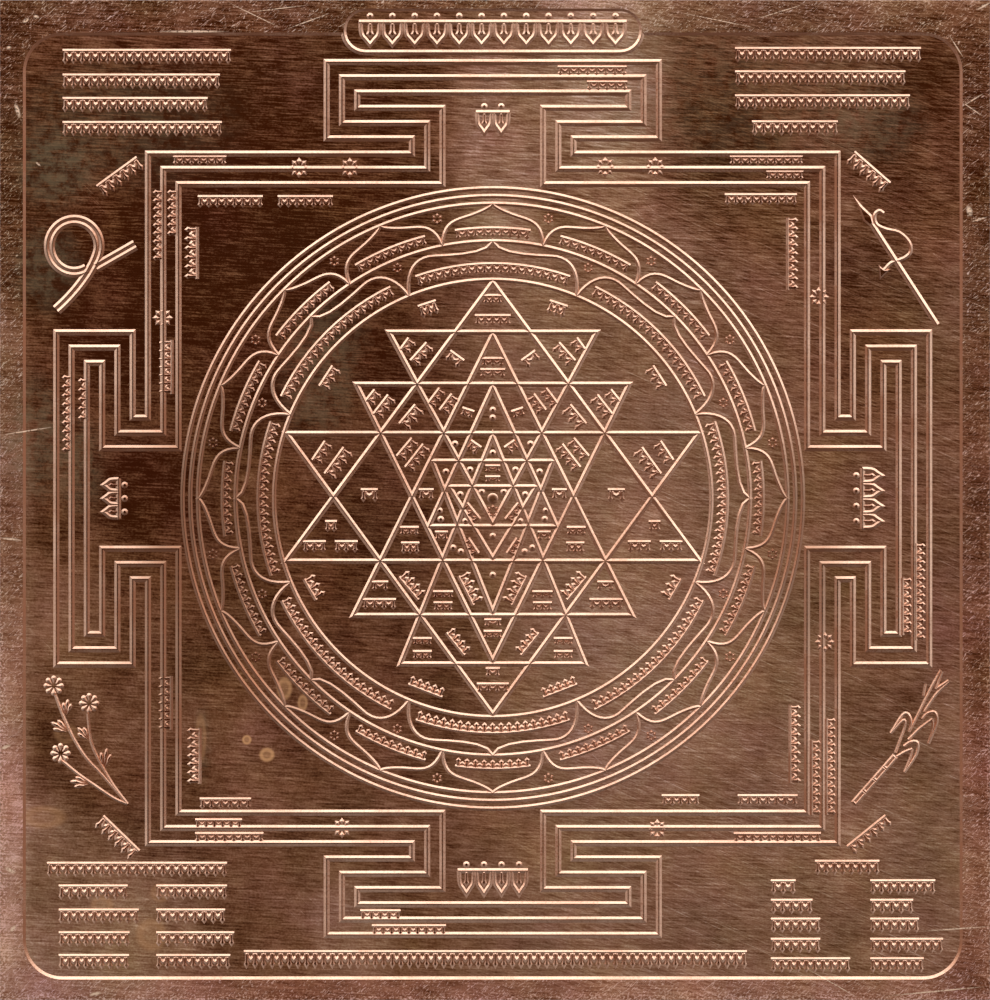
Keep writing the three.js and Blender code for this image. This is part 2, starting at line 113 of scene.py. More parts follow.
def divide(bm):
    """Cuts the flats into cells, so that no face has to hold too many details."""
    for axis, half in ((Vector((1, 0, 0)), sheet_high.x), (Vector((0, 1, 0)), sheet_high.y)):
        for number in range(1, CELLS):
            bmesh.ops.bisect_plane(
                bm, geom=bm.verts[:] + bm.edges[:] + bm.faces[:],
                plane_co=axis * half * (2 * number / CELLS - 1), plane_no=axis,
            )


blank = bmesh.new()
bmesh.ops.create_cube(blank, size=1)
bmesh.ops.scale(blank, vec=sheet_high - sheet_low, verts=blank.verts)
bmesh.ops.translate(blank, vec=(sheet_high + sheet_low) / 2, verts=blank.verts)
divide(blank)
plate = new_object("yantra_plate_struck", blank)
bpy.context.scene.collection.objects.link(plate)

# The two halves of the die: shapes that press the sheet down, and shapes that are left standing.
dies = {
    "DIFFERENCE": bpy.data.collections.new("pressed_down"),
    "UNION": bpy.data.collections.new("left_standing"),
}


def strike(operation, bm):
    """Adds one closed shape, which must not overlap itself, to a half of the die."""
    dies[operation].objects.link(new_object("die", bm))


def stamp(low, high, radius):
    """The punch for a round-cornered recess. Low and high are its corners at the margin."""
    bm = bmesh.new()
    bmesh.ops.create_grid(bm, x_segments=1, y_segments=1, size=0.5)
    size = high - low
    bmesh.ops.scale(bm, vec=(size.x, size.y, 1), verts=bm.verts)
    bmesh.ops.bevel(
        bm, geom=bm.verts[:], offset=radius, segments=FIELD_CORNER_STEPS, profile=0.5,
        affect="VERTICES", material=-1,
    )
    bmesh.ops.remove_doubles(bm, verts=bm.verts, dist=WELD)
    bm.faces.ensure_lookup_table()
    face = bm.faces[0]
    upper = bmesh.ops.extrude_face_region(bm, geom=[face], use_keep_orig=True)["geom"]
    upper = [item for item in upper if isinstance(item, bmesh.types.BMVert)]
    bmesh.ops.translate(bm, vec=(0, 0, STAMP_HEIGHT), verts=upper)
    for inward, down in FIELD_SIDE:
        bmesh.ops.inset_region(
            bm, faces=[face], thickness=inward, depth=-down * face.normal.z, use_even_offset=True
        )
    bmesh.ops.translate(bm, vec=((low + high) / 2).to_3d() + Vector((0, 0, TOP)), verts=bm.verts)
    divide(bm)
    strike("DIFFERENCE", bm)


stamp(field_low, field_high, FIELD_CORNER_RADIUS)

# The panel
# A long recess with round ends, pressed into the top margin as deep as the field, with a raised
# line round it that closes it off from the field.
PANEL_WIDTH = 46.0
PANEL_HEIGHT = 6.8
PANEL_MARGIN = 1.28
PANEL_LINE_WIDTH = 0.84
PANEL_END_STEPS = 14
# Raised shapes start a root below the floor. A line's flank is this wide, or on a fine line this
# share of the line's width.
ROOT = 0.08
LINE_FLANK = 0.42
FINE_FLANK_SHARE = 0.46
# One side of a line from its foot up: how far along the flank and how high each point lies.
SHOULDER = ((0.0, 0.0), (0.5, 0.55), (0.85, 0.92), (1.0, 1.0))

panel_middle = Vector((centre.x, sheet_high.y - PANEL_MARGIN - PANEL_HEIGHT / 2))
panel_reach = Vector((PANEL_WIDTH, PANEL_HEIGHT)) / 2
stamp(panel_middle - panel_reach, panel_middle + panel_reach, PANEL_HEIGHT / 2)


def line_section(width):
    """The closed section of a raised line: rooted foot, sloping flanks and rounded shoulders."""
    flank = min(LINE_FLANK, FINE_FLANK_SHARE * width)
    right = [Vector((width / 2, FLOOR - ROOT))]
    for inward, up in SHOULDER:
        right.append(Vector((width / 2 - inward * flank, FLOOR + up * RELIEF_DEPTH)))
    return right + [Vector((-point.x, point.y)) for point in reversed(right)]


def corner_frame(path, index, closed):
    """Sets a section square to a path at one of its points, widened there to a mitre."""
    count = len(path)
    ahead = path[(index + 1) % count] - path[index]
    behind = path[index] - path[index - 1]
    if not closed and index == 0:
        behind = ahead
    if not closed and index == count - 1:
        ahead = behind
    arriving, leaving = behind.normalized(), ahead.normalized()
    both = (arriving + leaving) / (1 + arriving.dot(leaving))
    return Matrix((
        (both.y, both.x, 0, path[index].x),
        (-both.x, both.y, 0, path[index].y),
        (0, 0, 1, 0),
        (0, 0, 0, 1),
    ))


def struck_line(path, width, closed=False):
    """Draws the section of a raised line along a path, one extrusion for each step."""
    bm = bmesh.new()
    start = [bm.verts.new((point.x, 0, point.y)) for point in line_section(width)]
    edges = [bm.edges.new(pair) for pair in zip(start, start[1:] + start[:1])]
    if not closed:
        bm.faces.new(start)
    frames = [corner_frame(path, index, closed) for index in range(len(path))]
    if closed:
        frames.append(frames[0])
    bmesh.ops.transform(bm, matrix=frames[0], verts=start)
    for here, there in zip(frames, frames[1:]):
        made = bmesh.ops.extrude_edge_only(bm, edges=edges)["geom"]
        ring = [item for item in made if isinstance(item, bmesh.types.BMVert)]
        fresh = set(ring)
        edges = [
            item for item in made
            if isinstance(item, bmesh.types.BMEdge) and set(item.verts) <= fresh
        ]
        bmesh.ops.transform(bm, matrix=there @ here.inverted(), verts=ring)
    if closed:
        bmesh.ops.remove_doubles(bm, verts=start + ring, dist=WELD)
    else:
        bmesh.ops.edgeloop_fill(bm, edges=edges)
    strike("UNION", bm)


def arc(middle, radius, start, end, steps):
    """Points on an arc, both ends included."""
    angles = [start + (end - start) * k / steps for k in range(steps + 1)]
    return [middle + radius * Vector((math.cos(a), math.sin(a))) for a in angles]


line_radius = PANEL_HEIGHT / 2 + PANEL_LINE_WIDTH / 2 - LINE_FLANK
end_offset = Vector((PANEL_WIDTH / 2 - PANEL_HEIGHT / 2, 0))
quarter = math.pi / 2
right_end = arc(panel_middle + end_offset, line_radius, -quarter, quarter, PANEL_END_STEPS)
left_end = arc(panel_middle - end_offset, line_radius, quarter, 3 * quarter, PANEL_END_STEPS)
struck_line(right_end + left_end, PANEL_LINE_WIDTH, closed=True)

# The earth square
# Three parallel lines, each with four T-shaped gates. They lie on evenly spaced levels: the sides
# of the square take the first, the shoulders of the gates the next and their outer ends the last.
GATE_CLEARANCE = 5.15
GATE_LINE_WIDTH = 0.94
GATE_LINE_PITCH = 2.35
GATE_LINE_COUNT = 3
GATE_OPENING_HALF = 7.74
GATE_WING_HALF = 20.86


def gate_level(number):
    """How far a level lies from the centre."""
    outermost = (field_high.x - field_low.x) / 2 - GATE_CLEARANCE
    return outermost - (3 * GATE_LINE_COUNT - 1 - number) * GATE_LINE_PITCH


def turned(path, angle, place=centre):
    """A path drawn round the origin, turned and moved to a place."""
    turn = Matrix.Rotation(angle, 2)
    return [place + turn @ Vector(point) for point in path]


for number in range(GATE_LINE_COUNT):
    side = gate_level(number)
    opening = GATE_OPENING_HALF + number * GATE_LINE_PITCH
    wing = GATE_WING_HALF + number * GATE_LINE_PITCH
    shoulder = gate_level(2 * GATE_LINE_COUNT - 1 - number)
    end = gate_level(2 * GATE_LINE_COUNT + number)
    gate = [(opening, side), (opening, shoulder), (wing, shoulder), (wing, end)]
    one_side = [(-side, side)] + [(-x, y) for x, y in gate] + gate[::-1]
    path = [point for turn in range(4) for point in turned(one_side, -turn * quarter)]
    struck_line(path, GATE_LINE_WIDTH, closed=True)

# The rings and the lotus rows
# Three rings inside the square, then two rows of petals. Each row stands on its own circle and its
# petals reach the next circle out, with a shoulder on each side and a short drawn-out tip.
RING_GAP = 0.62
RING_PITCH = 1.19
RING_COUNT = 3
RING_LINE_WIDTH = 0.68
RING_STEPS = 168
PETAL_LINE_WIDTH = 0.58
OUTER_LOTUS_PETALS = 16
OUTER_LOTUS_HEIGHT = 5.78
INNER_LOTUS_PETALS = 8
INNER_LOTUS_HEIGHT = 5.93
# Half of a petal's line as two curves that meet at the shoulder, in shares of the petal's half
# width and of its height, and the steps on each curve.
OUTER_PETAL = (
    ((1, 0), (0.99, 0.61), (0.72, 0.6), (0.39, 0.745)),
    ((0.39, 0.745), (0.24, 0.815), (0.06, 0.9), (0, 1)),
)
INNER_PETAL = (
    ((1, 0), (1.04, 0.44), (0.93, 0.72), (0.697, 0.726)),
    ((0.697, 0.726), (0.45, 0.745), (0.05, 0.76), (0, 1)),
)
PETAL_STEPS = (10, 5)

outer_ring = gate_level(0) - RING_GAP
inner_ring = outer_ring - (RING_COUNT - 1) * RING_PITCH
outer_lotus = inner_ring - OUTER_LOTUS_HEIGHT
star_radius = outer_lotus - INNER_LOTUS_HEIGHT

rings = [outer_ring - number * RING_PITCH for number in range(RING_COUNT)]
for radius in (*rings, outer_lotus, star_radius):
    bm = bmesh.new()
    section = [
        bm.verts.new((centre.x + radius + point.x, centre.y, point.y))
        for point in line_section(RING_LINE_WIDTH)
    ]
    edges = [bm.edges.new(pair) for pair in zip(section, section[1:] + section[:1])]
    bmesh.ops.spin(
        bm, geom=section + edges, cent=centre.to_3d(), axis=(0, 0, 1), angle=2 * math.pi,
        steps=RING_STEPS, use_merge=True,
    )
    strike("UNION", bm)


def curve(controls, steps):
    """Points on a cubic Bezier curve, both ends included."""
    points = interpolate_bezier(*(Vector(point).to_3d() for point in controls), steps + 1)
    return [point.to_2d() for point in points]


def petal_path(half_width, foot, tip, shares, steps_each):
    """A petal that points up, drawn from its right foot over the tip to its left foot."""
    half = []
    for part, steps in zip(shares, steps_each):
        placed = [(across * half_width, foot + up * (tip - foot)) for across, up in part]
        half += curve(placed, steps)[bool(half):]
    return half + [Vector((-point.x, point.y)) for point in reversed(half[:-1])]


for base, tip, count, shares in (
    (outer_lotus, inner_ring, OUTER_LOTUS_PETALS, OUTER_PETAL),
    (star_radius, outer_lotus, INNER_LOTUS_PETALS, INNER_PETAL),
):
    half_angle = math.pi / count
    half_width, foot = base * math.sin(half_angle), base * math.cos(half_angle)
    petal = petal_path(half_width, foot, tip, shares, PETAL_STEPS)
    for number in range(count):
        struck_line(turned(petal, 2 * half_angle * number), PETAL_LINE_WIDTH)

# The nine triangles and the bindu
# Nine triangles interlock inside the innermost circle, round the dot in the middle. Each point
# rests on another triangle's flat side, and slanting sides pass where two lines cross.
STAR_LINE_WIDTH = 0.82
POINT_SETBACK = 0.38
# How high the flat sides lie of the triangles that point down and up, as shares of the radius.
DOWN_SIDE = (0.297, 0.522, 0.76, 0.17, 0.053)
UP_SIDE = (-0.287, -0.535, -0.128, -0.757)
BINDU_RADIUS = 0.85
BINDU_STEPS = 32


def through(rests_on, side, junction):
    """The triangle whose point rests at a height and whose slanting side passes a junction."""
    apex = rests_on - math.copysign(POINT_SETBACK, rests_on - side)
    across, height = junction
    return apex, side, across * (apex - side) / (apex - height)


def crossing(triangle, height, setback=0.0):
    """Where a triangle's slanting side meets a height."""
    apex, side, half = triangle
    return half * (apex - height) / (apex - side) - setback, height


down = [share * star_radius for share in DOWN_SIDE]
up = [share * star_radius for share in UP_SIDE]
reach = star_radius - POINT_SETBACK
great_up = (reach, up[0], math.sqrt(reach**2 - up[0] ** 2))
great_down = (-reach, down[0], math.sqrt(reach**2 - down[0] ** 2))
second_down = through(up[3], down[1], crossing(great_up, down[0]))
third_down = through(up[2], down[2], crossing(great_up, down[1]))
second_up = through(down[2], up[1], crossing(great_down, up[0]))
fourth_up = through(down[0], up[3], crossing(great_down, up[1]))
fourth_down = through(up[1], down[3], crossing(second_up, down[3], POINT_SETBACK))
third_up = through(down[1], up[2], crossing(second_down, up[2], POINT_SETBACK))
fifth_down = through(up[0], down[4], crossing(third_up, down[4], POINT_SETBACK))
for apex, side, half in (
    great_up, second_up, third_up, fourth_up,
    great_down, second_down, third_down, fourth_down, fifth_down,
):
    struck_line(turned([(-half, side), (half, side), (0, apex)], 0), STAR_LINE_WIDTH, closed=True)

bindu = bmesh.new()
bmesh.ops.create_uvsphere(
    bindu, u_segments=BINDU_STEPS, v_segments=BINDU_STEPS // 2, radius=1
)
bmesh.ops.scale(bindu, vec=(BINDU_RADIUS, BINDU_RADIUS, RELIEF_DEPTH), verts=bindu.verts)
bmesh.ops.translate(bindu, vec=centre.to_3d() + Vector((0, 0, FLOOR)), verts=bindu.verts)
strike("UNION", bindu)

# The corner figures
# A noose, a goad, a spray of flowers and a stalk of sugarcane, one in each corner of the field. An
# inset is measured from that corner, and outlines are drawn from the point that the inset gives.
NOOSE_INSET = (7.9, 32.9)
NOOSE_STRAND_WIDTH = 0.82
NOOSE_STRAND_PITCH = 0.86
# The loop's radii, and the angles at which it starts and ends.
NOOSE_LOOP = (3.83, 4.0)
NOOSE_LOOP_SPAN = (-0.15, 5.23)
NOOSE_LOOP_STEPS = 48
NOOSE_TAIL_STEPS = 16
NOOSE_LONG_TAIL = ((-2.7, -9.8), (1.4, -6.2), (3.83, -2.0), (3.83, 0))
NOOSE_SHORT_TAIL = ((3.35, -3.25), (9.4, 0.2))
GOAD_INSET = (16.95, 24.95)
GOAD_LENGTH = 23.9
GOAD_LEAN = 0.576
GOAD_HEAD_LENGTH = 5.6
GOAD_HEAD_WIDTH = 1.6
GOAD_HEAD_FLANK = 0.3
GOAD_HEAD_SIDE = ((0.45, 0.44), (1, 0.77), (0.5, 1))
GOAD_SHAFT_WIDTH = 0.9
GOAD_HOOK_WIDTH = 0.6
GOAD_HOOK = (
    (4.8, -2.9), (4.1, -2.5), (3.4, -3.2), (3.7, -4.6), (5.2, -5.35), (7.2, -5.85),
    (8.7, -7.3), (8.95, -8.8), (7.9, -9.8), (6.0, -10.5), (4.9, -11.6),
)
GOAD_BARB = ((4.0, -10.8), (4.2, -13.1), (6.0, -11.4), (4.9, -11.5))
GOAD_BARB_FLANK = 0.2
SPRAY_INSET = (16.1, 27.0)
STEM_WIDTH = 0.52
STEMS = (
    ((0, 0), (-3.8, 4.4), (-6.2, 6.9), (-8, 9.6), (-9.7, 13.1), (-11.1, 16.8)),
    ((0, 0), (-2.2, 2.9), (-4.1, 6.2), (-5.6, 9.6), (-6.1, 13.9)),
    ((0, 0), (-2.1, 0.9), (-5.4, 3.1), (-7.7, 4.7), (-10, 6.6)),
)
FLOWERS = ((-11.35, 18.2), (-5.9, 15.5), (-10.3, 7.8))
FLOWER_RADIUS = 1.6
FLOWER_EYE = 0.32
FLOWER_PETALS = 8
FLOWER_PETAL_WIDTH = 0.86
FLOWER_FLANK_SHARE = 0.4
# Where each bud stands, which way it points and how long it is.
BUDS = (
    ((-9.6, 13.3), 1.42, 2.9), ((-8.7, 11.0), 2.67, 3.5), ((-5.6, 9.7), 2.37, 3.0),
    ((-3.8, 5.0), 1.39, 3.7), ((-5.4, 3.1), 3.03, 3.5),
)
BUD_SPREAD = 0.27
BUD_SIDE_SHARE = 0.82
BUD_PETAL_WIDTH = 0.74
BUD_PETAL_START = 0.15
# Outlines of small petals: shares of their length and of their width.
POINTED = ((0.0, 0.0), (0.5, -0.5), (1.0, 0.0), (0.5, 0.5))
ROUNDED = ((0.0, 0.0), (0.65, -0.5), (0.9, -0.34), (1.0, 0.0), (0.9, 0.34), (0.65, 0.5))
CANE_INSET = (16.65, 27.2)
CANE_LEAN = 0.72
CANE_LINE_WIDTH = 0.5
CANE_JOINTS = 4
CANE_JOINT_LENGTH = 2.1
CANE_JOINT_PITCH = 2.42
CANE_WIDTH = 0.56
CANE_LEAVES = (
    ((8.4, 10.9), (8.75, 12.3), (8.3, 13.6), (7.4, 13.5), (5.6, 10.7)),
    ((6.3, 7.7), (7.1, 9.9), (7.85, 12.1), (7.4, 12.65), (5.6, 10.7)),
    ((10.4, 12.9), (11.2, 13.75), (12.4, 13.9), (12.7, 12.3), (11.4, 9.1)),
    ((8.3, 9.7), (10.0, 11.4), (12.0, 12.9)),
    ((12.0, 12.9), (12.1, 11.6), (11.4, 9.1)),
    ((7.6, 8.7), (8.7, 9.4), (9.75, 9.2), (9.5, 7.4), (7.7, 4.7)),
    ((6.5, 7.1), (7.9, 7.9), (8.9, 8.3)),
    ((8.9, 8.3), (8.6, 6.9), (7.7, 4.7)),
    ((8.4, 10.9), (9.6, 13.2), (10.7, 15.5), (11.9, 17.9), (13.3, 20.4)),
    ((10.7, 14.0), (11.7, 15.5), (12.9, 17.1), (14.6, 18.6)),
    ((10.6, 16.4), (10.95, 18.3)),
    ((12.5, 17.5), (13.5, 20.2)),
    ((12.5, 17.5), (14.5, 18.8)),
)
SPLINE_STEPS = 3
# An island's side from the foot up: how far in along the flank and how far up each slope goes.
ISLAND_SIDE = ((0.6, 0.75), (0.4, 0.25))
ISLAND_FLANK_SHARE = 0.32


def from_corner(inset, sign_x, sign_y):
    """The point at an inset from a corner of the field. Signs say which corner."""
    corner_x = field_low.x if sign_x < 0 else field_high.x
    corner_y = field_low.y if sign_y < 0 else field_high.y
    return Vector((corner_x - sign_x * inset[0], corner_y - sign_y * inset[1]))


def spline(points):
    """A smooth path through points, by cubic curves whose handles follow their neighbours."""
    knots = [Vector(point) for point in points]
    before = [2 * knots[0] - knots[1]] + knots[:-1]
    after = knots[1:] + [2 * knots[-1] - knots[-2]]
    handles = [(late - early) / 6 for early, late in zip(before, after)]
    path = knots[:1]
    for k in range(len(knots) - 1):
        controls = (knots[k], knots[k] + handles[k], knots[k + 1] - handles[k + 1], knots[k + 1])
        path += curve(controls, SPLINE_STEPS)[1:]
    return path


def island(outline, flank, side=ISLAND_SIDE):
    """A raised island with sloping sides. The outline is its foot's."""
    bm = bmesh.new()
    face = bm.faces.new([bm.verts.new((point.x, point.y, FLOOR)) for point in outline])
    face.normal_update()
    lower = bmesh.ops.extrude_face_region(bm, geom=[face], use_keep_orig=True)["geom"]
    lower = [item for item in lower if isinstance(item, bmesh.types.BMVert)]
    bmesh.ops.translate(bm, vec=(0, 0, -ROOT), verts=lower)
    for inward, rise in side:
        bmesh.ops.inset_region(
            bm, faces=[face], thickness=inward * flank, use_even_offset=True,
            depth=rise * RELIEF_DEPTH * face.normal.z,
        )
    return bm


def small_petal(shape, foot, angle, start, end, width, flank_share=ISLAND_FLANK_SHARE):
    """Strikes a small petal that points away from a foot."""
    outline = [(start + along * (end - start), across * width) for along, across in shape]
    strike("UNION", island(turned(outline, angle, foot), flank_share * width))


place = from_corner(NOOSE_INSET, -1, 1)
span_start, span_end = NOOSE_LOOP_SPAN
loop = [
    Vector((point.x * NOOSE_LOOP[0], point.y * NOOSE_LOOP[1]))
    for point in arc(Vector((0, 0)), 1, span_start, span_end, NOOSE_LOOP_STEPS)
]
long_tail = curve(NOOSE_LONG_TAIL, NOOSE_TAIL_STEPS)
short_tail = [Vector(point) for point in NOOSE_SHORT_TAIL]
for middle in (loop, long_tail, short_tail):
    for shift in (-NOOSE_STRAND_PITCH / 2, NOOSE_STRAND_PITCH / 2):
        strand = [
            (corner_frame(middle, index, False) @ Vector((shift, 0, 0))).to_2d()
            for index in range(len(middle))
        ]
        struck_line(turned(strand, 0, place), NOOSE_STRAND_WIDTH)

place = from_corner(GOAD_INSET, 1, 1)
side = [(x * GOAD_HEAD_WIDTH / 2, -y * GOAD_HEAD_LENGTH) for x, y in GOAD_HEAD_SIDE]
head = [(0, 0)] + [(-x, y) for x, y in side] + side[::-1]
shaft = [(0, GOAD_SHAFT_WIDTH / 2 - GOAD_HEAD_LENGTH), (0, -GOAD_LENGTH)]
strike("UNION", island(turned(head, GOAD_LEAN, place), GOAD_HEAD_FLANK))
strike("UNION", island(turned(GOAD_BARB, 0, place), GOAD_BARB_FLANK))
struck_line(turned(shaft, GOAD_LEAN, place), GOAD_SHAFT_WIDTH)
struck_line(turned(spline(GOAD_HOOK), 0, place), GOAD_HOOK_WIDTH)

place = from_corner(SPRAY_INSET, -1, -1)
for stem in STEMS:
    struck_line(turned(spline(stem), 0, place), STEM_WIDTH)
for flower in FLOWERS:
    for number in range(FLOWER_PETALS):
        angle = 2 * math.pi * number / FLOWER_PETALS
        small_petal(
            ROUNDED, place + Vector(flower), angle, FLOWER_EYE, FLOWER_RADIUS, FLOWER_PETAL_WIDTH,
            FLOWER_FLANK_SHARE,
        )
for foot, towards, length in BUDS:
    for spread, share in (
        (-BUD_SPREAD, BUD_SIDE_SHARE), (BUD_SPREAD, BUD_SIDE_SHARE), (0, 1),
    ):
        small_petal(
            ROUNDED, place + Vector(foot), towards + spread, BUD_PETAL_START * length,
            share * length, BUD_PETAL_WIDTH,
        )

place = from_corner(CANE_INSET, 1, -1)
for number in range(CANE_JOINTS):
    low = number * CANE_JOINT_PITCH
    high = low + CANE_JOINT_LENGTH
    half = CANE_WIDTH / 2
    joint = [(-half, low), (half, low), (half, high), (-half, high)]
    struck_line(turned(joint, -CANE_LEAN, place), CANE_LINE_WIDTH, closed=True)
for leaf in CANE_LEAVES:
    struck_line(turned(spline(leaf), 0, place), CANE_LINE_WIDTH)

# The garlands
# Swags and tassels hang from thin bars, as flower garlands hang over a door. Rows of them fill the
# corners of the field, the inside of the square, the petals and the cells of the star.
BAR_WIDTH = 0.6
SWAG_PITCH = 1.32
SWAG_WIDTH = 0.39
SWAG_DEPTH = 0.7
SWAG_STEPS = 4
SWAG_SHARE = 0.97
# A tassel's outline from its hook round, in millimetres across and in parts of its row's height.
TASSEL = (
    (0.25, 0.05), (-0.25, 0.05), (-0.25, -0.55), (-0.42, -0.8), (0, -1.1), (0.42, -0.8),
    (0.25, -0.55),
)
TASSEL_WIDTH = 0.4
# Tassels, swags and seeds rise in one slope, to this share of the relief.
PENDANT_FLANK = 0.17
PENDANT_SIDE = ((1.0, 0.85),)
SEED_RADIUS = 0.54
SEED_SIDES = 10
SEED_FLANK = 0.3
# Places are measured from the middle of the design. A row in a corner of the field is level, and
# is given by where its bar starts and by its length.
CORNER_ROW_HEIGHT = 1.9
CORNER_ROWS = (
    (-66.2, 68.9, 25.9), (-66.2, 65.1, 24.2), (-66.2, 61.5, 22.3), (-66.2, 57.8, 24.5),
    (37.3, 69.2, 28.6), (37.3, 65.6, 26.2), (37.3, 61.9, 26.9), (39.9, 57.9, 13.2),
    (-68.6, -56.2, 27.7), (-66.8, -59.7, 10.6), (-51.8, -59.7, 10.9), (-66.8, -63.4, 12.3),
    (-51.8, -63.4, 10.6), (-66.8, -66.9, 10.9), (-51.8, -66.9, 12.0), (-66.8, -70.4, 10.8),
    (-51.8, -70.4, 11.4), (49.6, -55.9, 9.9), (42.8, -58.9, 3.8), (42.8, -61.9, 6.4),
    (42.8, -64.8, 7.6), (42.8, -67.9, 7.6), (42.8, -70.9, 12.2), (58.1, -58.9, 10.0),
    (58.1, -61.9, 6.6), (58.1, -64.8, 7.5), (58.1, -67.9, 11.2), (58.1, -70.9, 8.2),
)
# Any other row is given by where its bar starts, its length, its direction in degrees and its
# height, and hangs to the right of that direction. The long row lies under the square. The star's
# rows are those of its left half, and return mirrored in its right half.
LONG_ROW = (-38.3, -69.8, 77.4, 0, 2.4)
SQUARE_ROWS = (
    (-60.9, 48.0, 7.6, 36, 2.0), (55.6, 53.3, 7.3, -41, 2.0), (-60.0, -48.9, 7.7, -44, 2.0),
    (54.6, -53.6, 7.6, 39, 1.6), (-49.2, 52.6, 8.2, 0, 1.2), (-45.4, 46.4, 10.0, 0, 1.5),
    (-33.1, 46.4, 8.5, 0, 1.5), (-50.8, 47.5, 10.9, -90, 1.4), (-48.6, 47.5, 7.1, -90, 1.4),
    (-45.5, 41.8, 8.0, -90, 1.8), (-49.4, 24.4, 8.3, -90, 1.8), (-64.8, 19.0, 11.9, -90, 1.4),
    (-62.3, 18.5, 6.5, -90, 1.4), (36.5, 52.6, 11.2, 0, 1.2), (42.1, 50.3, 5.7, 0, 1.2),
    (35.7, 46.7, 11.1, 0, 1.4), (45.4, 32.1, 11.1, 90, 1.5), (63.1, -21.0, 8.8, 90, 1.4),
    (65.1, -21.8, 14.9, 90, 1.4), (45.8, -43.8, 12.0, 90, 1.5), (49.1, -48.7, 11.5, 90, 1.4),
    (51.4, -48.7, 14.9, 90, 1.4), (10.0, 66.4, 10.6, 0, 1.2), (14.5, 64.1, 6.2, 0, 1.2),
    (-45.8, -49.5, 7.2, 0, 1.2), (-45.8, -51.6, 10.5, 0, 1.2), (-45.1, -46.3, 7.9, 0, 1.4),
    (-20.4, -63.5, 6.2, 0, 1.4), (-18.6, -65.8, 11.4, 0, 1.4), (-49.5, -27.3, 8.3, -90, 1.8),
    (-45.1, -35.3, 8.6, -90, 1.8), (26.0, -45.8, 5.8, 0, 1.4), (37.7, -45.8, 9.2, 0, 1.4),
    (37.1, -51.6, 13.4, 0, 1.2),
)
STAR_ROWS = (
    (-11.5, 29.5, 2.9, 18, 1.8), (-14.1, 23.0, 2.1, 54, 1.4), (-12.6, 21.2, 3.7, 48, 1.5),
    (-6.6, 22.7, 2.6, -36, 1.4), (-19.5, 15.0, 2.2, 51, 1.4), (-18.3, 13.0, 3.7, 52, 1.5),
    (-14.3, 11.5, 3.8, 50, 1.8), (-10.0, 14.5, 3.1, 53, 1.2), (-8.1, 13.6, 3.1, 53, 1.4),
    (-4.7, 13.9, 1.9, -18, 1.1), (-14.7, 6.5, 3.6, 50, 1.4), (-13.4, 4.8, 4.5, 52, 1.4),
    (-3.4, 8.9, 1.9, -35, 1.4), (-20.3, 1.3, 2.6, 0, 1.7), (-11.4, 1.3, 2.3, 0, 1.5),
    (-4.0, -0.7, 3.2, -51, 1.2), (-14.3, -4.5, 2.9, 0, 1.1), (-14.1, -6.9, 2.8, 0, 1.5),
    (-8.9, -5.2, 2.0, 0, 1.2), (-3.8, -6.1, 2.8, -56, 1.2), (-18.6, -12.9, 2.5, 0, 1.2),
    (-20.0, -15.6, 5.1, 0, 1.4), (-11.5, -15.6, 4.6, 130, 1.7), (-9.2, -14.4, 3.1, 0, 0.9),
    (-9.1, -16.1, 2.9, 0, 1.2), (-3.0, -16.4, 5.0, 117, 1.8), (-12.3, -21.6, 2.9, 0, 0.9),
    (-12.3, -23.6, 2.9, 0, 1.1), (-4.4, -24.1, 4.4, 129, 1.4), (-7.8, -30.6, 5.6, 159, 1.4),
    (-27.7, 5.9, 3.5, 56, 1.4), (-25.8, 3.8, 5.0, 54, 1.7), (-25.8, -3.6, 1.8, 0, 1.4),
    (-29.2, -6.7, 3.5, 0, 1.5), (-24.3, -6.7, 3.5, 0, 1.5), (-27.2, -15.6, 3.7, 120, 1.7),
    (-26.6, 17.3, 3.7, 57, 1.5),
)
# Level rows centred on the upright axis: how high up, how long and how high.
AXIS_ROWS = (
    (31.2, 2.9, 1.2), (28.1, 5.5, 1.4), (21.5, 3.4, 1.1), (19.8, 3.8, 1.1), (5.0, 2.3, 0.9),
    (3.3, 2.3, 0.8), (-18.7, 2.6, 1.0), (-20.5, 2.8, 1.0), (-26.2, 2.2, 1.2), (-28.6, 4.9, 1.2),
)
# A bent row in each petal: radius, half the angle that it spans, and height.
OUTER_LOTUS_ROW = (41.6, 0.14, 1.3)
INNER_LOTUS_ROW = (36.1, 0.335, 1.5)
ARC_STEPS = 12


def template(outline, flank=PENDANT_FLANK):
    """A small island kept as a mesh, to be set down many times."""
    bm = island(outline, flank, PENDANT_SIDE)
    mesh = bpy.data.meshes.new("pendant")
    bm.to_mesh(mesh)
    bm.free()
    return mesh


def set_down(bm, shape, place, angle, across=1.0, along=1.0):
    """Adds a turned and stretched copy of a template to a shape."""
    copy = shape.copy()
    turn = Matrix.Translation(place.to_3d()) @ Matrix.Rotation(angle, 4, "Z")
    copy.transform(turn @ Matrix.Diagonal((across, along, 1, 1)))
    bm.from_mesh(copy)
    bpy.data.meshes.remove(copy)


def half_ellipse(across, down):
    """The lower half of an ellipse, from left to right."""
    return [
        Vector((point.x * across, point.y * down))
        for point in arc(Vector((0, 0)), 1, math.pi, 2 * math.pi, SWAG_STEPS)
    ]


tassel = template([Vector(point) for point in TASSEL])
outer = half_ellipse(SWAG_PITCH / 2, SWAG_DEPTH)
inner = half_ellipse(SWAG_PITCH / 2 - SWAG_WIDTH, SWAG_DEPTH - SWAG_WIDTH)
swag = template(outer + inner[::-1])
seed = template(arc(Vector((0, 0)), SEED_RADIUS, 0, 2 * math.pi, SEED_SIDES)[1:], SEED_FLANK)


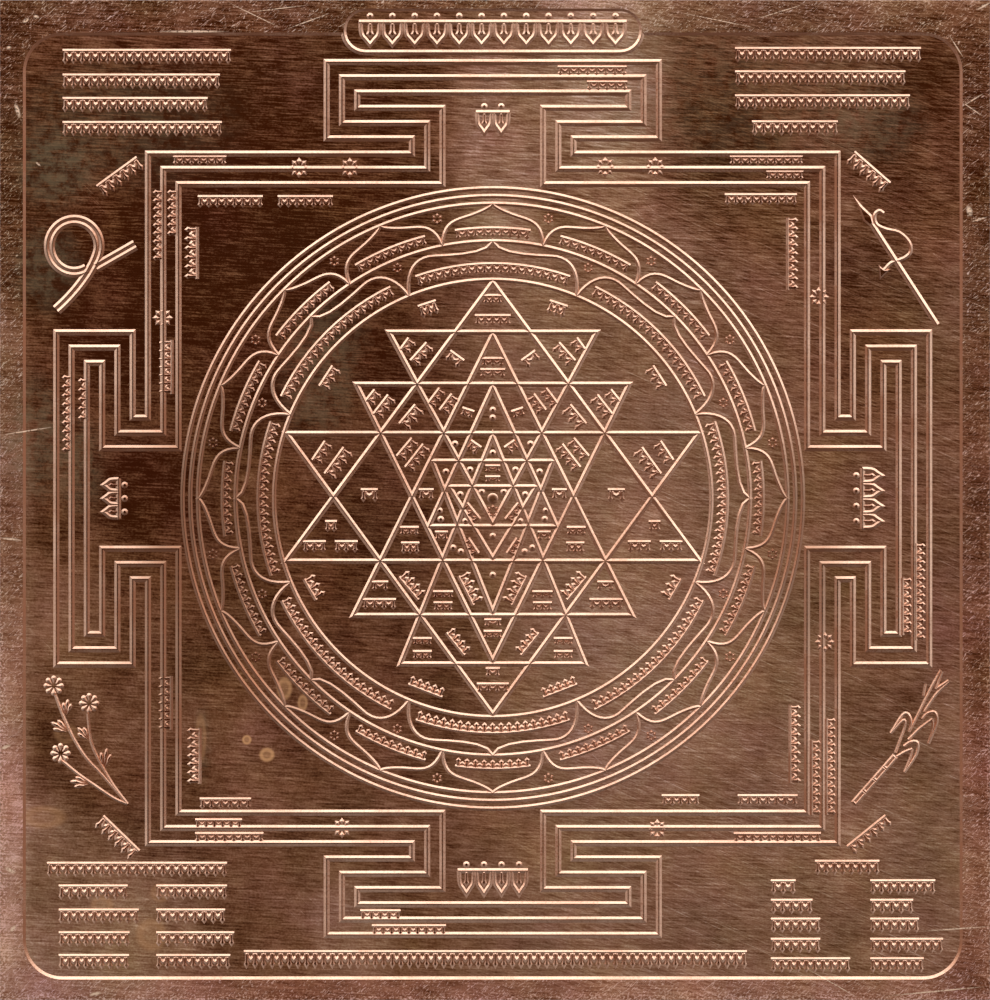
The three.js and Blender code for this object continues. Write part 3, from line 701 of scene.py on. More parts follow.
def garland(path, height):
    """A bar along a path, with tassels and swags hanging on its right-hand side by turns."""
    struck_line(path, BAR_WIDTH)
    stretches = [(b - a).length for a, b in zip(path, path[1:])]
    length = sum(stretches) - 2 * TASSEL_WIDTH
    count = max(1, round(length / SWAG_PITCH))
    tassels, swags = bmesh.new(), bmesh.new()
    for number in range(2 * count + 1):
        distance = TASSEL_WIDTH + number / (2 * count) * length
        step = 0
        while distance > stretches[step]:
            distance -= stretches[step]
            step += 1
        ahead = (path[step + 1] - path[step]).normalized()
        hook = path[step] + distance * ahead
        angle = math.atan2(ahead.y, ahead.x)
        if number % 2:
            set_down(swags, swag, hook, angle, SWAG_SHARE * length / count / SWAG_PITCH, height)
        else:
            set_down(tassels, tassel, hook, angle, 1.0, height)
    strike("UNION", tassels)
    strike("UNION", swags)


def straight(x, y, length, degrees):
    """A straight path from a point in a direction."""
    angle = math.radians(degrees)
    return turned([(0, 0), (length, 0)], angle, centre + Vector((x, y)))


rows = [(x, y, length, 0, CORNER_ROW_HEIGHT) for x, y, length in CORNER_ROWS]
rows += [LONG_ROW, *SQUARE_ROWS, *STAR_ROWS]
rows += [(-length / 2, y, length, 0, height) for y, length, height in AXIS_ROWS]
for x, y, length, degrees, height in STAR_ROWS:
    end = Matrix.Rotation(math.radians(degrees), 2) @ Vector((length, 0)) + Vector((x, y))
    rows.append((-end.x, end.y, length, -degrees, height))
for x, y, length, degrees, height in rows:
    garland(straight(x, y, length, degrees), height)
for count, (radius, half_span, height) in (
    (OUTER_LOTUS_PETALS, OUTER_LOTUS_ROW), (INNER_LOTUS_PETALS, INNER_LOTUS_ROW),
):
    for number in range(count):
        middle = quarter - 2 * math.pi * number / count
        path = arc(centre, radius, middle + half_span, middle - half_span, ARC_STEPS)
        garland(path, height)

# The great garland and the gate garlands
# In the panel and in the four gates, pointed petals with a tassel in each hang from a bar, and a
# bead stands over each petal.
HANGING_BAR_WIDTH = 0.8
HANGING_LINE_WIDTH = 0.7
HANGING_PETAL = (
    ((1, 0), (1.02, 0.5), (0.9, 0.6), (0.55, 0.72)),
    ((0.55, 0.72), (0.37, 0.81), (0.18, 0.91), (0, 1)),
)
HANGING_PETAL_STEPS = (6, 1)
# Half a petal's width as a share of the pitch, and its tassel's height as a share of its own.
PETAL_HALF_SHARE = 0.42
HEART_SHARE = 0.66
BEAD_SPREAD = 0.97
BEAD_LIFT = 0.95
# Start of the bar, its length and direction, and the number and height of its petals.
PANEL_ROW = (-20.6, 73.3, 41.2, 0, 12, 3.5)
GATE_ROWS = (
    (-2.6, 59.4, 5.2, 0, 2, 3.2),
    (-5.4, -57.3, 10.8, 0, 4, 3.6),
    (-57.6, 3.1, 6.2, -90, 3, 2.3),
    (56.9, -4.7, 9.4, 90, 4, 2.9),
)

for x, y, length, degrees, count, height in (PANEL_ROW, *GATE_ROWS):
    bar = straight(x, y, length, degrees)
    struck_line(bar, HANGING_BAR_WIDTH)
    angle = math.radians(degrees)
    pitch = length / count
    half_width = PETAL_HALF_SHARE * pitch
    petal = petal_path(half_width, 0, height, HANGING_PETAL, HANGING_PETAL_STEPS)
    hearts, beads = bmesh.new(), bmesh.new()
    for number in range(count):
        hook = bar[0].lerp(bar[1], (number + 0.5) / count)
        struck_line(turned(petal, angle + math.pi, hook), HANGING_LINE_WIDTH)
        set_down(hearts, tassel, hook, angle, half_width, HEART_SHARE * height)
        lifted = turned([(0, BEAD_LIFT)], angle, hook)[0]
        set_down(beads, seed, lifted, angle, BEAD_SPREAD, BEAD_SPREAD)
    strike("UNION", hearts)
    strike("UNION", beads)

# The rosettes and seeds
# Small rosettes sit on the middle line of the square, in the gaps between the petals and right
# under the bindu, and seeds fill the smallest cells of the star.
ROSETTE_EYE = 0.28
# Radius, number of petals and width of a petal.
LINE_ROSETTE = (1.6, 8, 0.86)
BINDU_ROSETTE = (1.05, 7, 0.56)
OUTER_GAP_ROSETTE = (0.9, 6, 0.56)
INNER_GAP_ROSETTE = (0.85, 6, 0.56)
LINE_ROSETTES = (
    (-29.8, 50.9), (-22.0, 50.9), (17.3, 51.0), (25.0, 51.0), (-23.2, -50.7), (25.3, -50.9),
    (-50.8, 27.8), (50.2, 31.0), (51.1, -22.1),
)
BINDU_ROSETTE_DROP = 1.95
OUTER_GAP_RADIUS = 43.9
INNER_GAP_RADIUS = 38.4
# Seeds in the left half of the star, which return in its right half, and on its upright axis.
SEEDS = (
    (-5.8, 8.4), (-7.2, 4.1), (-3.5, 4.4), (-5.0, 0.6), (-8.2, -1.9), (-8.0, -3.2), (-4.2, -3.5),
    (-6.1, -7.6), (-4.9, -8.2), (-1.7, 1.0),
)
AXIS_SEEDS = (13.6, 12.4, 7.0, -5.8, -11.8)


def rosette(x, y, radius, petals, width):
    """Strikes pointed petals round an eye."""
    for number in range(petals):
        angle = 2 * math.pi * number / petals + quarter
        foot = centre + Vector((x, y))
        small_petal(POINTED, foot, angle, ROSETTE_EYE * radius, radius, width)


for x, y in LINE_ROSETTES:
    rosette(x, y, *LINE_ROSETTE)
rosette(0, -BINDU_ROSETTE_DROP, *BINDU_ROSETTE)
for count, radius, kind in (
    (OUTER_LOTUS_PETALS, OUTER_GAP_RADIUS, OUTER_GAP_ROSETTE),
    (INNER_LOTUS_PETALS, INNER_GAP_RADIUS, INNER_GAP_ROSETTE),
):
    for number in range(count):
        angle = 2 * math.pi * (number + 0.5) / count
        rosette(radius * math.cos(angle), radius * math.sin(angle), *kind)
seeds = bmesh.new()
sown = [(0, y) for y in AXIS_SEEDS] + [(side * x, y) for x, y in SEEDS for side in (-1, 1)]
for x, y in sown:
    set_down(seeds, seed, centre + Vector((x, y)), 0)
strike("UNION", seeds)

# Finishing the plate
# Both halves of the die come down on the sheet in turn, and the sheet is brought to metres. Edges
# sharper than a crease stay sharp, and everything else is shaded round.
CREASE = math.radians(20)
# How much more a large face's direction counts at its corners than a small one's.
FLAT_WEIGHT = 100

for operation, shapes in dies.items():
    bpy.context.scene.collection.children.link(shapes)
    blow = plate.modifiers.new(shapes.name, "BOOLEAN")
    blow.operand_type = "COLLECTION"
    blow.collection = shapes
    blow.operation = operation
    blow.solver = "MANIFOLD"
bm = bmesh.new()
bm.from_object(plate, bpy.context.evaluated_depsgraph_get())
bmesh.ops.triangulate(bm, faces=bm.faces, ngon_method="EAR_CLIP")
bmesh.ops.scale(bm, vec=(MM, MM, MM), verts=bm.verts)
struck = plate.data
bm.to_mesh(struck)
bm.free()
plate.modifiers.clear()
for shapes in dies.values():
    for tool in list(shapes.objects):
        bpy.data.objects.remove(tool)
    bpy.data.collections.remove(shapes)
struck.shade_smooth()
struck.set_sharp_from_angle(angle=CREASE)
weighting = plate.modifiers.new("flats_stay_flat", "WEIGHTED_NORMAL")
weighting.keep_sharp = True
weighting.weight = FLAT_WEIGHT

# The copper
# Bare copper that has darkened with age. The field is brown and uneven, more so to the upper left,
# and everything that stands up has been rubbed bright. Slopes that face away from the lamp, and
# some that face sideways, are painted in shade. Fine brush marks cross it, mostly level.
RUBBED = (0.95, 0.61, 0.445, 1)
# The colour of the darker slopes in the listed places, partly dull metal and partly painted shade.
DULL_AND_SHADED = (0.27, 0.15, 0.095, 1)
# The dark slope colour: grime where slopes are dull at random, painted shade where they face away
# from the lamp.
GRIME_AND_SHADE = (0.36, 0.145, 0.08, 1)
BRIGHT = (1.0, 0.7, 0.5, 1)
HAZE = (0.19, 0.14, 0.08, 1)
STAIN = (0.85, 0.43, 0.2, 1)
# Colours of the flats from the darkest tarnish to nearly bare metal.
TARNISH = (
    (0.0, (0.06, 0.012, 0.003)),
    (0.25, (0.19, 0.07, 0.031)),
    (0.5, (0.34, 0.16, 0.09)),
    (0.75, (0.52, 0.3, 0.195)),
    (1.0, (0.8, 0.56, 0.44)),
)
# The clouds tint the flats by their own colours times the first, plus the second.
CLOUD_TINT = (0.4, 0.4, 0.6)
CLOUD_TINT_BASE = (0.8, 0.8, 0.7)
REDDER = (1.1, 0.95, 0.97)
# Brush marks: which way they run, their length and thickness, and how much they waver.
LEVEL_MARKS = {"Angle": 0.05, "Size": (4.5, 0.26, 1), "Waver": 0.5}
SLANT_MARKS = {"Angle": 0.38, "Size": (4, 0.24, 1), "Waver": 0.3}
CROSS_MARKS = {"Angle": 0.78, "Size": (9, 0.14, 1), "Waver": 0.1}
HAIRLINES = {"Angle": 0.45, "Size": (16, 0.13, 1), "Waver": 0.2}
NICKS = {"Angle": -0.7, "Size": (1.7, 0.45, 1), "Waver": 3.0}
# How the copper changes across or along the plate: from where to where in mm from its middle, and
# from how much to how much.
TONE_ACROSS = (-14, 12, 0.16, 0.34)
TONE_ALONG = (10, -60, 0.0, 0.14)
OLDER_ACROSS = (10, -50, 0.0, 1.0)
LEVEL_MARKS_ALONG = (5, 60, 0.95, 1.4)
SLANT_MARKS_ACROSS = (-30, 30, 0.35, 0.8)
HAIRLINES_ACROSS = (-20, 40, 0.0, 0.38)
CHIPS_ALONG = (40, -50, 0.3, 1.0)
REDDER_ALONG = (40, -50, 0.0, 1.0)
# How far each texture swings the tone, and how much further on the older side.
CLOUD_SWING = (0.5, 0.2)
MOTTLE_SWING = (0.4, 0.15)
GRAIN_SWING = (0.4, 0.1)
# Between which two values a texture shows, and how much it counts at each. The edge's wear goes by
# mm from the edge, and a patch fades by shares of its radii.
CROSS_MARKS_SHOW = (0.62, 0.72, 0.0, 1.0)
CROSSED_CLOUDS = (0.48, 0.62, 0.0, 1.0)
HAIRLINES_SHOW = (0.56, 0.72, 0.0, 1.0)
NICKS_SHOW = (0.56, 0.66, 0.0, 0.85)
CHIPS_SHOW = (0.5, 0.66, 0.0, 0.5)
EDGE_WEAR = (1.6, 0.0, 0.0, 1.0)
VEINS_SHOW = (0.38, 0.6, 0.1, 1.0)
SCRATCHES_SHOW = (0.35, 0.5, 0.2, 1.0)
CLOUDS_DULL = (0.42, 0.62, 0.0, 0.3)
GRAIN_DULLS = (0.45, 0.7, 0.0, 0.25)
PATCH_FADES = (1.15, 0.35, 0.0, 1.0)
# What the marks that cross, the margins and the tops of the lines add to the tone.
CROSSED_TONE = 0.35
MARGIN_TONE = -0.01
RIDGE_TONE = -0.22
# How dull all slopes are, and how much painted shade those that face away from the light take.
ALL_DULL = 0.05
AWAY_PAINTED_SHADE = 0.75
# How strong a dried drop is at its rim and inside.
STAIN_RIM = 2.4
STAIN_FILM = 0.4
# Roughness by the level marks, which stand out this far in mm, with the slanting ones as a share.
ROUGHNESS = (0.3, 0.7, 0.3, 0.42)
MARK_DEPTH = 0.02
MARK_STRENGTH = 0.3
SLANT_MARKS_SHARE = 0.6
# Lighter and darker patches of tarnish: middle (in mm from the plate's), radii and amount.
PATCHES = (
    ((0, 55), (10, 22), 0.28), ((17, 66), (12, 24), 0.3), ((46, 58), (24, 22), -0.14),
    ((70, 66), (12, 12), -0.12), ((76, 10), (5, 85), -0.2), ((-45, 40), (40, 34), -0.15),
    ((20, -2), (30, 52), 0.15), ((-54, 1), (10, 10), -0.14), ((-66, -20), (8, 16), 0.14),
    ((-27, 18), (7, 10), 0.06), ((-64, -66), (22, 18), 0.2), ((-75, -12), (5, 66), 0.26),
    ((-69, -49), (6, 5), 0.12), ((0, -75), (80, 4), 0.08), ((-22, -66), (9, 12), 0.2),
    ((60, -25), (10, 26), -0.06), ((0, 32), (16, 18), 0.12), ((57, 28), (10, 18), -0.12),
    ((76, -74), (8, 8), -0.12), ((-75, -45), (4, 34), 0.14), ((-60, -76), (22, 4), 0.14),
    ((66, 52), (9, 22), -0.14), ((-20, 75.5), (60, 3), 0.08), ((76, 5), (4, 60), 0.06),
    ((0, 0), (9, 9), 0.07), ((32, 62), (12, 16), -0.1), ((-72, -72), (9, 9), 0.1),
    ((-55, -66), (14, 12), 0.06),
)
# Films that veil the metal, dried drops, and places where slopes are darker, partly dull metal and
# partly painted shade, in the same way.
HAZES = (
    ((-68, 51), (7, 7), 0.6), ((-69, 36), (6, 8), 0.5), ((-58, 58), (20, 12), 0.3),
    ((-71, 9), (6, 11), 0.5), ((-64, 5), (4, 9), 0.4), ((-27, 18), (7, 10), 0.4),
    ((-26, 26), (8, 6), 0.3), ((36, 62), (30, 14), 0.25), ((58, 58), (10, 7), 0.35),
    ((-45, -37), (1.6, 7), 0.3),
)
STAINS = (
    ((-38.2, -36.9), (0.75, 0.75), 1.0), ((-35.1, -39.2), (1.2, 1.1), 1.0),
    ((-32.4, -29.0), (1.2, 1.8), 0.7), ((-29.6, -31.2), (0.8, 1.3), 0.7),
    ((-69.5, -48.8), (3.6, 1.8), 0.35), ((-60.5, -62.4), (1.8, 1.6), 0.35),
    ((-52.9, -66.9), (2.4, 2.6), 0.35), ((-51.5, -60.5), (1.6, 1.5), 0.3),
    ((-45.3, -36.6), (0.9, 3.8), 0.3), ((-66.0, -36.0), (2.0, 1.6), 0.25),
)
# Darker slopes: partly dull metal, and partly painted shade on ring, gate and field sides that face
# sideways.
DULLED_AND_SHADED = (
    ((-43, -6), (13, 34), 0.9), ((-33, -31), (13, 12), 0.65), ((47, -8), (9, 22), 0.7),
    ((-58, -5), (12, 26), 0.45), ((-63, 40), (12, 14), 0.2), ((-72.4, 0), (2.5, 90), 0.7),
    ((71.8, 0), (2.5, 90), 0.7), ((-53, -36), (8, 18), 0.6), ((-52, 36), (6, 16), 0.2),
)
# Scratches down to bright metal: middle, radii, angle.
SCRATCHES = (
    ((-46.6, 72.1), (5.4, 0.2), 0), ((-72.1, 10.6), (4.4, 0.12), 0.155),
    ((-74.6, -6.0), (1.7, 0.2), -0.1), ((-70.3, 51.7), (0.5, 0.16), -0.7),
    ((-72.2, 73.8), (0.6, 0.3), 0.5), ((-70.6, 74.4), (0.5, 0.25), -0.4),
    ((-74.8, 69.6), (0.4, 0.3), 0), ((-73.5, 60.0), (0.35, 1.2), 0.3),
    ((71.0, -66.0), (5.4, 0.12), 0.07), ((68.0, -75.6), (8.0, 0.13), 0.095),
    ((52.0, -74.4), (4.3, 0.09), -0.52), ((71.0, 69.8), (2.1, 0.1), -1.0),
    ((73.6, 61.6), (1.9, 0.12), 0.55), ((73.4, 60.2), (2.0, 0.1), -0.6),
    ((73.0, 44.5), (0.5, 0.9), 0.3), ((74.6, 43.2), (1.4, 0.15), 0.3),
    ((75.2, 76.0), (1.2, 0.2), 0.5), ((-37.0, 74.6), (4.5, 0.08), -0.45),
    ((-29.0, 73.6), (3.6, 0.1), 0.35), ((-33.5, 75.6), (5.0, 0.08), 0.12),
    ((34.0, 73.9), (6.0, 0.08), -0.2), ((44.0, 75.2), (4.2, 0.08), 0.3),
    ((-75.3, -38.0), (0.9, 0.3), 0.4), ((-74.6, -57.0), (1.0, 0.35), -0.5),
    ((-61.5, -76.0), (1.0, 0.3), 0.2), ((-74.2, -66.0), (0.7, 0.3), 0.9),
)
# By how far a face looks up, it is flat above the first and a full slope below the second.
SLOPE_FLAT = 0.995
SLOPE_FULL = 0.93
LEAST_TILT = 0.01
# How much less painted shade the slopes take that face out from the middle, across and along the
# plate.
SHADE_SPARED_SIDEWAYS = 0.55
SHADE_SPARED_LENGTHWAYS = 0.8


def add(tree, kind, **inputs):
    """Adds a shader node, with sockets linked to its inputs and plain values set on them.

    Inputs go by their names, or as i0, i1 and so on by their numbers.
    """
    made = tree.nodes.new("ShaderNode" + kind)
    for name, value in inputs.items():
        socket = made.inputs[int(name[1:]) if name[1:].isdigit() else name.replace("_", " ")]
        if isinstance(value, bpy.types.NodeSocket):
            tree.links.new(value, socket)
        else:
            socket.default_value = value
    return made


def maths(tree, operation, *values):
    """A Math node's result."""
    made = add(tree, "Math", **{"i%d" % k: value for k, value in enumerate(values)})
    made.operation = operation
    return made.outputs[0]


def vectors(tree, operation, *values):
    """A Vector Math node's result."""
    made = add(tree, "VectorMath", **{"i%d" % k: value for k, value in enumerate(values)})
    made.operation = operation
    return made.outputs["Value" if operation in ("LENGTH", "DOT_PRODUCT") else "Vector"]


def smooth(tree, value, low, high, to_low, to_high):
    """A value carried smoothly from one range to another."""
    made = add(
        tree, "MapRange", Value=value, From_Min=low, From_Max=high, To_Min=to_low, To_Max=to_high
    )
    made.interpolation_type = "SMOOTHSTEP"
    return made.outputs["Result"]


def group(name, inputs, output):
    """An empty node group with its inputs, and the nodes at its two ends."""
    tree = bpy.data.node_groups.new(name, "ShaderNodeTree")
    for label, kind in inputs:
        tree.interface.new_socket(label, in_out="INPUT", socket_type="NodeSocket" + kind)
    tree.interface.new_socket(output, in_out="OUTPUT", socket_type="NodeSocketFloat")
    return tree, tree.nodes.new("NodeGroupInput").outputs, tree.nodes.new("NodeGroupOutput")


def use(tree, shared, **inputs):
    """A node group's result with its inputs set."""
    made = tree.nodes.new("ShaderNodeGroup")
    made.node_tree = shared
    for name, value in inputs.items():
        if isinstance(value, bpy.types.NodeSocket):
            tree.links.new(value, made.inputs[name])
        else:
            made.inputs[name].default_value = value
    return made.outputs[0]


soft_patch, given, result = group(
    "soft_patch",
    (("Place", "Vector"), ("Middle", "Vector"), ("Radii", "Vector"), ("Angle", "Float")), "Mask",
)
offset = vectors(soft_patch, "SUBTRACT", given["Place"], given["Middle"])
backward = maths(soft_patch, "MULTIPLY", given["Angle"], -1)
unturned = add(soft_patch, "VectorRotate", Vector=offset, Angle=backward)
unturned.rotation_type = "Z_AXIS"
in_radii = vectors(soft_patch, "DIVIDE", unturned.outputs[0], given["Radii"])
distance = vectors(soft_patch, "LENGTH", in_radii)
soft_patch.links.new(smooth(soft_patch, distance, *PATCH_FADES), result.inputs[0])

brush_marks, given, result = group(
    "brush_marks",
    (("Place", "Vector"), ("Angle", "Float"), ("Size", "Vector"), ("Waver", "Float")), "Marks",
)
rotated = add(brush_marks, "VectorRotate", Vector=given["Place"], Angle=given["Angle"])
rotated.rotation_type = "Z_AXIS"
stretched = vectors(brush_marks, "DIVIDE", rotated.outputs[0], given["Size"])
noise = add(
    brush_marks, "TexNoise", Vector=stretched, Scale=1.0, Detail=4.0, Roughness=0.62,
    Distortion=given["Waver"],
)
brush_marks.links.new(noise.outputs[0], result.inputs[0])

copper = bpy.data.materials.new("struck_copper")
copper.use_nodes = True
metal = copper.node_tree
coordinates = add(metal, "TexCoord").outputs["Object"]
flat_place = vectors(metal, "MULTIPLY", coordinates, (1 / MM, 1 / MM, 0))
axes = add(metal, "SeparateXYZ", Vector=flat_place).outputs
across, along = axes["X"], axes["Y"]

level_marks = use(metal, brush_marks, Place=flat_place, **LEVEL_MARKS)
slant_marks = use(metal, brush_marks, Place=flat_place, **SLANT_MARKS)
cross_marks = use(metal, brush_marks, Place=flat_place, **CROSS_MARKS)
hairlines = use(metal, brush_marks, Place=flat_place, **HAIRLINES)
nicks = use(metal, brush_marks, Place=flat_place, **NICKS)
cloud_noise = add(metal, "TexNoise", Vector=flat_place, Scale=0.07, Detail=5.0, Roughness=0.6)
mottle_noise = add(metal, "TexNoise", Vector=flat_place, Scale=0.5, Detail=6.0, Roughness=0.7)
grain_noise = add(metal, "TexNoise", Vector=flat_place, Scale=3.0, Detail=2.0)
clouds, mottle, grain = (node.outputs[0] for node in (cloud_noise, mottle_noise, grain_noise))


def patch(middle, radii, angle=0.0):
    """How much a place is inside a soft patch. Middle and radii are in millimetres."""
    return use(
        metal, soft_patch, Place=flat_place, Middle=(*middle, 0), Radii=(*radii, 1), Angle=angle
    )


def varied(tone, texture, amount):
    """The tone with a texture's swing about its middle added."""
    return maths(metal, "MULTIPLY_ADD", maths(metal, "SUBTRACT", texture, 0.5), amount, tone)


def of_face(name):
    """A value that the faces of the plate carry."""
    made = add(metal, "Attribute")
    made.attribute_name = name
    return made.outputs["Fac"]


def mixed(factor, first, second):
    """A colour mixed from two."""
    made = add(metal, "Mix", i0=factor, i6=first, i7=second)
    made.data_type = "RGBA"
    return made.outputs[2]


# The tone of the flats, first over the whole plate and then on the margins and the lines' tops.
tone = maths(
    metal, "ADD", smooth(metal, across, *TONE_ACROSS), smooth(metal, along, *TONE_ALONG)
)
for middle, radii, amount in PATCHES:
    tone = maths(metal, "MULTIPLY_ADD", patch(middle, radii), amount, tone)
older = smooth(metal, across, *OLDER_ACROSS)
for texture, (everywhere, further) in (
    (clouds, CLOUD_SWING), (mottle, MOTTLE_SWING), (grain, GRAIN_SWING),
):
    tone = varied(tone, texture, maths(metal, "MULTIPLY_ADD", older, further, everywhere))
tone = varied(tone, level_marks, smooth(metal, along, *LEVEL_MARKS_ALONG))
tone = varied(tone, slant_marks, smooth(metal, across, *SLANT_MARKS_ACROSS))
crossed = maths(
    metal, "MULTIPLY", smooth(metal, cross_marks, *CROSS_MARKS_SHOW),
    smooth(metal, clouds, *CROSSED_CLOUDS),
)
tone = maths(metal, "MULTIPLY_ADD", crossed, CROSSED_TONE, tone)
scored = smooth(metal, hairlines, *HAIRLINES_SHOW)
tone = maths(metal, "MULTIPLY_ADD", scored, smooth(metal, across, *HAIRLINES_ACROSS), tone)

margin = of_face("margin")
from_side = maths(metal, "SUBTRACT", sheet_high.x, maths(metal, "ABSOLUTE", across))
from_end = maths(metal, "SUBTRACT", sheet_high.y, maths(metal, "ABSOLUTE", along))
edge = smooth(metal, maths(metal, "MINIMUM", from_side, from_end), *EDGE_WEAR)
chips = maths(metal, "MULTIPLY", edge, smooth(metal, grain, *CHIPS_SHOW))
chips = maths(metal, "MULTIPLY", chips, smooth(metal, along, *CHIPS_ALONG))
worn = maths(metal, "ADD", smooth(metal, nicks, *NICKS_SHOW), chips)
worn = maths(metal, "ADD", worn, MARGIN_TONE)
tone = maths(metal, "MULTIPLY_ADD", margin, worn, tone)
tone = maths(metal, "MULTIPLY_ADD", of_face("ridge"), RIDGE_TONE, tone)

# The tone becomes a colour, and films and dried drops lie over it.
colours = add(metal, "ValToRGB", Fac=tone)
ramp = colours.color_ramp
while len(ramp.elements) < len(TARNISH):
    ramp.elements.new(0.5)
for element, (position, colour) in zip(ramp.elements, TARNISH):
    element.position = position
    element.color = (*colour, 1)
tint = vectors(metal, "MULTIPLY_ADD", cloud_noise.outputs["Color"], CLOUD_TINT, CLOUD_TINT_BASE)
flats = vectors(metal, "MULTIPLY", colours.outputs[0], tint)
reddened = vectors(metal, "MULTIPLY", flats, REDDER)
low_margin = maths(metal, "MULTIPLY", margin, smooth(metal, along, *REDDER_ALONG))
flats = mixed(low_margin, flats, reddened)
veins = smooth(metal, mottle, *VEINS_SHOW)
for middle, radii, amount in HAZES:
    film = maths(metal, "MULTIPLY", patch(middle, radii), amount)
    flats = mixed(maths(metal, "MULTIPLY", film, veins), flats, HAZE)
for middle, radii, amount in STAINS:
    drop = patch(middle, radii)
    rim = maths(metal, "MULTIPLY", drop, maths(metal, "SUBTRACT", 1.0, drop))
    film = maths(metal, "MULTIPLY", drop, STAIN_FILM * amount)
    flats = mixed(maths(metal, "MULTIPLY_ADD", rim, STAIN_RIM * amount, film), flats, STAIN)

# The slopes are rubbed bright. Where they face away from the lamp they take painted shade, and in
# the listed dull places they are darker, partly dull metal and partly painted shade.
# How far a slope goes to the dark colour: painted shade where it faces away from the lamp, real
# dullness from the clouds and grain.
dulling_and_shade = maths(metal, "MULTIPLY_ADD", of_face("away"), AWAY_PAINTED_SHADE, ALL_DULL)
dulling_and_shade = maths(metal, "ADD", dulling_and_shade, smooth(metal, clouds, *CLOUDS_DULL))
dulling_and_shade = maths(metal, "ADD", dulling_and_shade, smooth(metal, grain, *GRAIN_DULLS))
dulling_and_shade.node.use_clamp = True
# Where slopes are darker: partly dull metal, partly painted shade.
dull_and_shade = 0.0
for middle, radii, amount in DULLED_AND_SHADED:
    dull_and_shade = maths(metal, "MULTIPLY_ADD", patch(middle, radii), amount, dull_and_shade)
dull_and_shade.node.use_clamp = True
slopes_lit = mixed(dull_and_shade, RUBBED, DULL_AND_SHADED)
# Slopes go from the lit colour to the dark one, which is painted shade on the slopes that face away
# from the lamp.
finished = mixed(of_face("slope"), flats, mixed(dulling_and_shade, slopes_lit, GRIME_AND_SHADE))
broken = smooth(metal, grain, *SCRATCHES_SHOW)
for middle, radii, angle in SCRATCHES:
    scratch = maths(metal, "MULTIPLY", patch(middle, radii, angle), broken)
    finished = mixed(scratch, finished, BRIGHT)

relief = maths(metal, "MULTIPLY_ADD", slant_marks, SLANT_MARKS_SHARE, level_marks)
bump = add(metal, "Bump", Strength=MARK_STRENGTH, Distance=MARK_DEPTH * MM, Height=relief)
shader = metal.nodes["Principled BSDF"].inputs
shader["Metallic"].default_value = 1.0
metal.links.new(finished, shader["Base Color"])
metal.links.new(smooth(metal, level_marks, *ROUGHNESS), shader["Roughness"])
metal.links.new(bump.outputs[0], shader["Normal"])
struck.materials.clear()
struck.materials.append(copper)

# What each face carries for the copper: how far it is a slope, how far it faces away from the lamp
# and so takes painted shade, and whether it is the top of a line or part of the margin.
slopes, painted_shades, ridges, margins = (
    struck.attributes.new(name, "FLOAT", "FACE").data
    for name in ("slope", "away", "ridge", "margin")
)
straight_part = (field_high - field_low) / 2 - Vector((1, 1)) * FIELD_CORNER_RADIUS
for index, face in enumerate(struck.polygons):
    tilt = (SLOPE_FLAT - face.normal.z) / (SLOPE_FLAT - SLOPE_FULL)
    slopes[index].value = min(1, max(0, tilt))
    out = face.center.to_2d() / MM - field_middle
    facing = face.normal.to_2d()
    if facing.length > LEAST_TILT:
        facing.normalize()
    outward_x, outward_y = (facing[k] * out[k] / sheet_high.x for k in (0, 1))
    # How far the face is turned from the lamp, which sets its painted shade, less on slopes that
    # face out from the middle.
    in_shade = (1 - facing.y) / 2 - SHADE_SPARED_SIDEWAYS * outward_x - SHADE_SPARED_LENGTHWAYS * max(0, outward_y)
    painted_shades[index].value = min(1, max(0, in_shade))
    beyond = Vector((max(0, abs(out.x) - straight_part.x), max(0, abs(out.y) - straight_part.y)))
    inside = beyond.length < FIELD_CORNER_RADIUS
    raised = face.center.z / MM > FLOOR + RELIEF_DEPTH / 2
    ridges[index].value = float(raised and inside)
    margins[index].value = float(raised and not inside)

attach(plate, "root")
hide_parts("yantra_plate")

# The studio
# A pale table, a soft room that darkens toward the front and has a pale card at either side, and
# one broad softbox behind the plate, low enough to light the slopes that face it. The camera looks
# straight down, and the plate fills its picture.
TABLE_HALF = 1.5
TABLE_COLOUR = (0.8, 0.79, 0.77, 1)
TABLE_ROUGHNESS = 0.9
# Where the room is brightest, and its level at the other end and there.
ROOM_TOP = (0, 0.35, 0.94)
ROOM_DARK_END = -0.3
ROOM_LEVELS = (0.14, 0.5)
# How far to the side a card starts and is full, and how much it adds.
CARDS = (0.5, 0.85, 0.0, 0.27)
LAMP_RADIANCE = 1.65
LAMP_WIDTH = 2.5
LAMP_HEIGHT = 0.8
LAMP_DISTANCE = 0.6
LAMP_ELEVATION = math.radians(36)
CAMERA_HEIGHT = 1.0

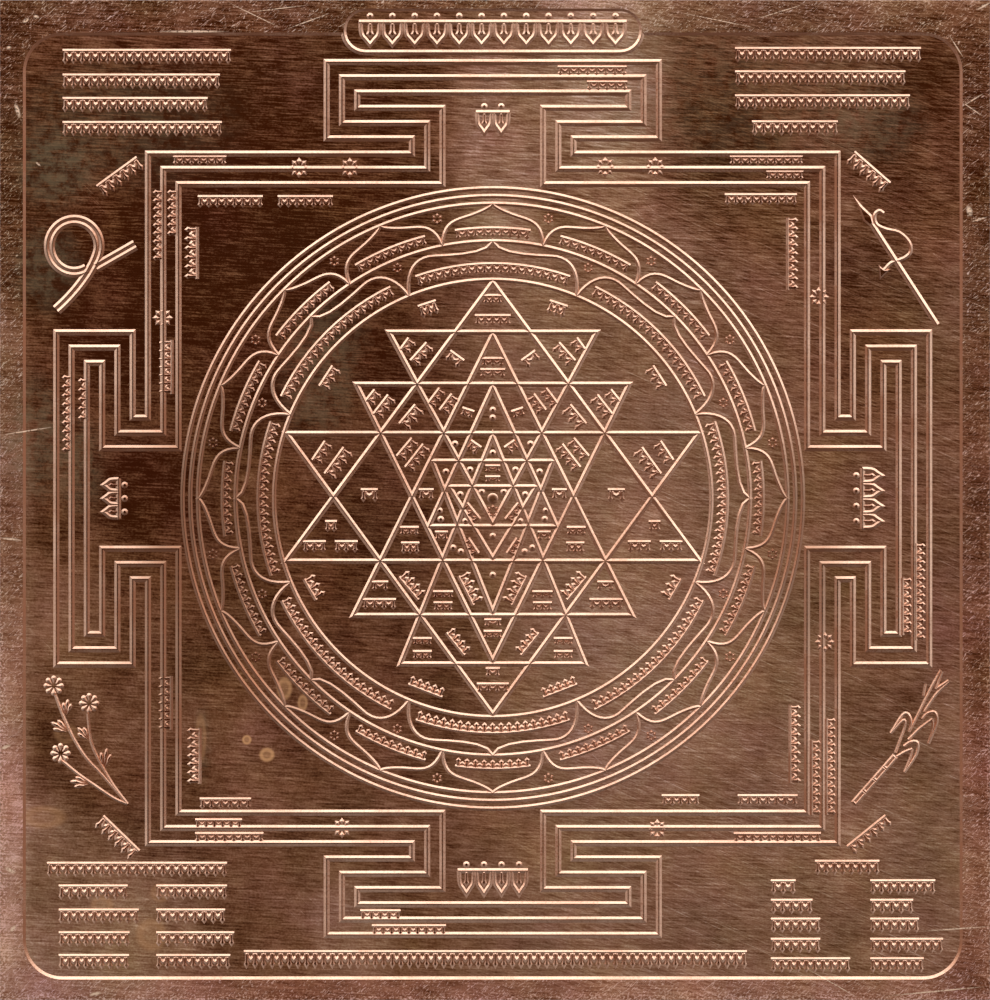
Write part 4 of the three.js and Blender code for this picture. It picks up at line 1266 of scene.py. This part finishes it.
table_top = bmesh.new()
bmesh.ops.create_grid(table_top, x_segments=1, y_segments=1, size=TABLE_HALF)
table = new_object("table", table_top)
bpy.context.scene.collection.objects.link(table)
pale = bpy.data.materials.new("pale_table")
pale.use_nodes = True
painted = pale.node_tree.nodes["Principled BSDF"].inputs
painted["Base Color"].default_value = TABLE_COLOUR
painted["Roughness"].default_value = TABLE_ROUGHNESS
table.data.materials.append(pale)

world = bpy.data.worlds.new("studio")
bpy.context.scene.world = world
world.use_nodes = True
room = world.node_tree
direction = add(room, "TexCoord").outputs["Generated"]
overhead = vectors(room, "DOT_PRODUCT", direction, ROOM_TOP)
low_level, high_level = ROOM_LEVELS
level = add(
    room, "MapRange", Value=overhead, From_Min=ROOM_DARK_END, To_Min=low_level, To_Max=high_level
)
sideways = maths(room, "ABSOLUTE", add(room, "SeparateXYZ", Vector=direction).outputs["X"])
lit = maths(room, "ADD", level.outputs["Result"], smooth(room, sideways, *CARDS))
background = room.nodes["Background"].inputs
room.links.new(lit, background["Strength"])
background["Color"].default_value = (1, 1, 1, 1)

lamp_data = bpy.data.lights.new("softbox", "AREA")
lamp_data.shape = "RECTANGLE"
lamp_data.size = LAMP_WIDTH
lamp_data.size_y = LAMP_HEIGHT
lamp_data.energy = LAMP_RADIANCE * math.pi * LAMP_WIDTH * LAMP_HEIGHT
lamp = bpy.data.objects.new("softbox", lamp_data)
bpy.context.scene.collection.objects.link(lamp)
towards = Vector((0, math.cos(LAMP_ELEVATION), math.sin(LAMP_ELEVATION)))
lamp.location = towards * LAMP_DISTANCE
lamp.rotation_euler = towards.to_track_quat("Z", "Y").to_euler()

camera_data = bpy.data.cameras.new("camera")
camera_data.type = "ORTHO"
camera_data.sensor_fit = "VERTICAL"
camera_data.ortho_scale = cad_high.y - cad_low.y
camera = bpy.data.objects.new("camera", camera_data)
camera.location = (0, 0, CAMERA_HEIGHT)
bpy.context.scene.collection.objects.link(camera)
bpy.context.scene.camera = camera
bpy.context.scene.view_settings.view_transform = "Standard"
